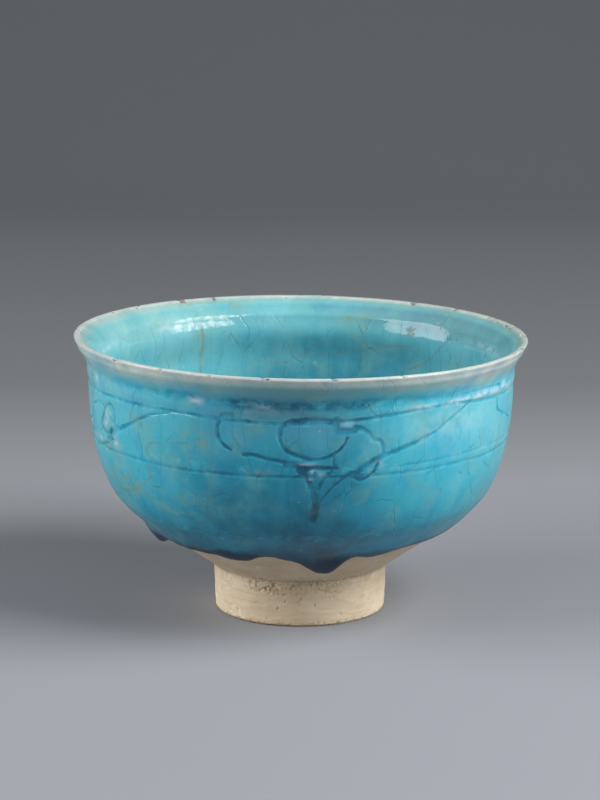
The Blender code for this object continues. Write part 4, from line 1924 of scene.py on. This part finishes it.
@dataclass
class LutedFoot:
    """The foot ring, turned by hand, pitted under its joint and chipped along its standing edge."""

    finish: PasteFinish = PasteFinish("foot_stonepaste_finish")
    bowl: TurnedBowl = field(default_factory=TurnedBowl)
    # how far the ring's top reaches past its seat, up and inwards, so that the joint shows no slit
    overlap: float = 0.0004
    tuck: float = 0.0012
    tuck_rise: float = 0.0003
    fillet: float = 0.0009
    counts: tuple[int, ...] = (22, 4, 14, 4, 40, 3, 3, 3, 5)
    mark_depth: float = 0.00010
    pit_depth: float = 0.00045
    dent_depth: float = 0.00016
    chip_depth: float = 0.0008
    chip_height: float = 0.0012
    # strength, turn and half width in degrees of the smears of dirt under the joint
    smears: tuple[tuple[float, float, float], ...] = ((1.3, -24.0, 13.0), (0.65, 10.0, 22.0))
    smear_height: float = 0.0150
    smear_width: float = 0.0030
    # painted contact shadow along the standing edge: its strength and its height
    painted_contact_shadow: float = 3.4
    contact_shadow_width: float = 0.0011

    def profile(self) -> Array:
        """The ring's cross-section: straight sides between its corners, in order round it.

        Returns:
            (radius, height) pairs.
        """
        top = CLAY.foot_height + self.overlap
        base, head, bevel = CLAY.foot_base_radius, CLAY.foot_top_radius, CLAY.foot_bevel
        inside_base = base - CLAY.foot_wall
        corners = np.array(
            [
                (inside_base - CLAY.foot_batter, top),
                (inside_base, bevel),
                (inside_base + bevel, 0.0),
                (base - bevel, 0.0),
                (base, bevel),
                (head, top - self.fillet),
                (head + self.fillet * 0.25, top - self.fillet * 0.25),
                (head + self.fillet, top + self.fillet * 0.55),
                (head - self.tuck, top + self.tuck_rise),
            ]
        )
        sides = zip(corners, np.roll(corners, -1, axis=0), self.counts)
        return np.vstack([a + (b - a) * np.linspace(0, 1, n, endpoint=False)[:, None] for a, b, n in sides])

    def build(self) -> bpy.types.Object:
        """Model the ring as one closed skin: its cross-section carried round, moved along its normal by
        turning marks, pits and dents, less the chips of its standing edge.

        Returns:
            The object luted_foot.
        """
        profile = self.profile()
        radius, height = carried(profile)
        spots = CLAY.spin(radius, height)
        outer = smooth((radius - CLAY.foot_base_radius + 0.0016) / 0.001)
        front = sum(strength * facing(turn, half) for strength, turn, half in self.smears)
        smear = bell(height, self.smear_height, self.smear_width) * outer * front
        marks = self.mark_depth * grain(spots * (0.12, 0.12, 1), 0.0013, 61, 2)
        pits = -self.pit_depth * smooth((grain(spots, 0.0014, 63, 2) - 0.52 + 0.34 * smear) / 0.20)
        dents = self.dent_depth * grain(spots, 0.009, 65, 2)
        chips = self.chip_depth * smooth((grain(spots, 0.0042, 67, 2) - 0.42) / 0.3)
        chips = chips * bell(height, 0.0, self.chip_height)
        lift = (marks + pits + dents) * smooth(height / 0.0008) - chips * outer
        normal = outward(np.roll(profile, -1, axis=0) - np.roll(profile, 1, axis=0))
        radius = radius + normal[:, :1] * lift
        height = np.maximum(height + normal[:, 1:] * np.minimum(lift, 0), 0)
        points = CLAY.spin(radius, height)
        # painted contact shadow along the standing edge, strongest at the front
        contact_shadow = self.painted_contact_shadow * bell(height, 0, self.contact_shadow_width) * (0.5 + 0.5 * facing(-4.0, 45.0))
        grime = np.clip(0.8 * smear + contact_shadow + 0.7 * self.bowl.grime(height) * outer, 0, 1)
        # the front of the ring is painted darker and warmer as shade
        readings = {"grime": grime, "crest": 0 * grime, "dull": 0.55 * facing(0.0, 30.0), "nick": 0 * grime}
        return skinned("luted_foot", points, Ends.JOINED, readings)

    def dress(self, piece: bpy.types.Object) -> None:
        """Give the ring its finish and its place in the frame.

        Args:
            piece: The object that build made.
        """
        piece.data.materials.append(self.finish.material())
        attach(piece, "root")
        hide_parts("foot_ring")


@dataclass(frozen=True)
class SoftBox:
    """A large soft lamp that looks at the bowl from a turn and an elevation."""

    name: str
    turn: float
    elevation: float
    width: float
    height: float
    power: float
    distance: float = 1.3
    aim_height: float = 0.07

    def build(self) -> None:
        """Hang the lamp."""
        lamp = bpy.data.lights.new(self.name, "AREA")
        lamp.shape = "RECTANGLE"
        lamp.size = self.width
        lamp.size_y = self.height
        lamp.energy = self.power
        turn, rise = math.radians(self.turn), math.radians(self.elevation)
        away = Vector((math.sin(turn) * math.cos(rise), -math.cos(turn) * math.cos(rise), math.sin(rise)))
        holder = placed(self.name, lamp)
        holder.location = away * self.distance + Vector((0, 0, self.aim_height))
        holder.rotation_mode = "QUATERNION"
        holder.rotation_quaternion = away.to_track_quat("Z", "Y")


@dataclass(frozen=True)
class Studio:
    """Plain paper sweep, two soft boxes and the camera at the photograph's angle."""

    elevation: float = 12.47
    distance: float = 1.1489
    target_height: float = 0.0818
    roll: float = 0.2
    lens: float = 133.2
    sensor: float = 36.0
    image_side: float = 800.0
    image_shift: float = 0.6
    air: Colour = (0.80, 0.85, 0.90)
    air_strength: float = 0.03
    paper_front: float = -2.2
    paper_bend: float = 1.0
    paper_radius: float = 0.9
    paper_top: float = 3.0
    paper_half: float = 3.0
    boxes: tuple[SoftBox, ...] = (
        SoftBox("right_box", 66.0, 39.0, 0.85, 0.85, 29.0),
        SoftBox("left_box", -76.0, 26.0, 1.0, 0.85, 19.5),
    )
    # the paper's colours from its front to its back, painted lighter in front and darker behind the bowl as
    # the light falls off
    paper_span: tuple[float, float] = (-0.6, 1.9)
    painted_paper_falloff: tuple[tuple[float, Colour], ...] = (
        (0.00, (0.25, 0.258, 0.285)),
        (0.24, (0.245, 0.256, 0.278)),
        (0.36, (0.177, 0.186, 0.194)),
        (0.62, (0.194, 0.211, 0.223)),
        (0.86, (0.182, 0.196, 0.208)),
        (1.00, (0.176, 0.191, 0.204)),
    )

    def build(self) -> None:
        """Set up the paper, the lamps, the world and the camera."""
        self.sweep()
        for box in self.boxes:
            box.build()
        world = bpy.data.worlds.new("studio_air")
        world.use_nodes = True
        air = world.node_tree.nodes["Background"]
        air.inputs["Color"].default_value = (*self.air, 1)
        air.inputs["Strength"].default_value = self.air_strength
        bpy.context.scene.world = world
        bpy.context.scene.view_settings.view_transform = "Standard"
        self.camera()

    def sweep(self) -> None:
        """Lay paper that runs level under the bowl and curves up behind it: a line, a quarter circle and a
        line, carried sideways.
        """
        radius, bend = self.paper_radius, np.linspace(0, math.pi / 2, 24)[1:]
        level = np.stack([np.linspace(self.paper_front, self.paper_bend, 12), np.zeros(12)], -1)
        curve = np.stack([self.paper_bend + radius * np.sin(bend), radius * (1 - np.cos(bend))], -1)
        rise = np.linspace(radius, self.paper_top, 7)[1:]
        side = np.vstack([level, curve, np.stack([np.full(6, self.paper_bend + radius), rise], -1)])
        across = np.tile(np.linspace(-self.paper_half, self.paper_half, 5), (len(side), 1))
        points = np.stack([across, side[:, :1] + 0 * across, side[:, 1:] + 0 * across], -1)
        index = np.arange(across.size).reshape(across.shape)
        quads = np.stack([index[:-1, :-1], index[:-1, 1:], index[1:, 1:], index[1:, :-1]], -1).reshape(-1, 4)
        mesh = bpy.data.meshes.new("paper_sweep")
        mesh.from_pydata(points.reshape(-1, 3).tolist(), [], quads.tolist())
        mesh.shade_smooth()
        nodes = Nodes("paper_with_painted_falloff")
        back = nodes.signal("ShaderNodeSeparateXYZ", {}, {0: nodes.place}, 1)
        # the paper's colour is painted light: lighter in front and darker behind, as the light falls off
        colour = nodes.ramp(back.eased(*self.paper_span), self.painted_paper_falloff)
        finish = {"Base Color": colour, "Roughness": 0.9, "Specular IOR Level": 0.2}
        mesh.materials.append(nodes.surface(finish))
        paper = placed("paper_sweep", mesh)

    def camera(self) -> None:
        """Place the camera."""
        rise = math.radians(self.elevation)
        back = Vector((0, -math.cos(rise), math.sin(rise)))
        camera = bpy.data.cameras.new("camera")
        camera.lens = self.lens
        camera.sensor_width = self.sensor
        camera.shift_x = -self.image_shift / self.image_side
        holder = placed("camera", camera)
        holder.location = Vector((0, 0, self.target_height)) + back * self.distance
        holder.rotation_mode = "QUATERNION"
        tilt = Quaternion((0, 0, 1), math.radians(self.roll))
        holder.rotation_quaternion = (-back).to_track_quat("-Z", "Y") @ tilt
        bpy.context.scene.camera = holder


def main() -> None:
    """Build the bowl's pieces in order, logging each one's faces, then the studio."""
    logging.basicConfig(level=logging.INFO, format="%(name)s: %(message)s")
    for maker in (TurnedBowl(), LutedFoot(), RunningGlaze(), WellGlaze()):
        piece = maker.build()
        maker.dress(piece)
        log.info("%s: %d faces", piece.name, len(piece.data.polygons))
    Studio().build()


if __name__ == "__main__":
    main()
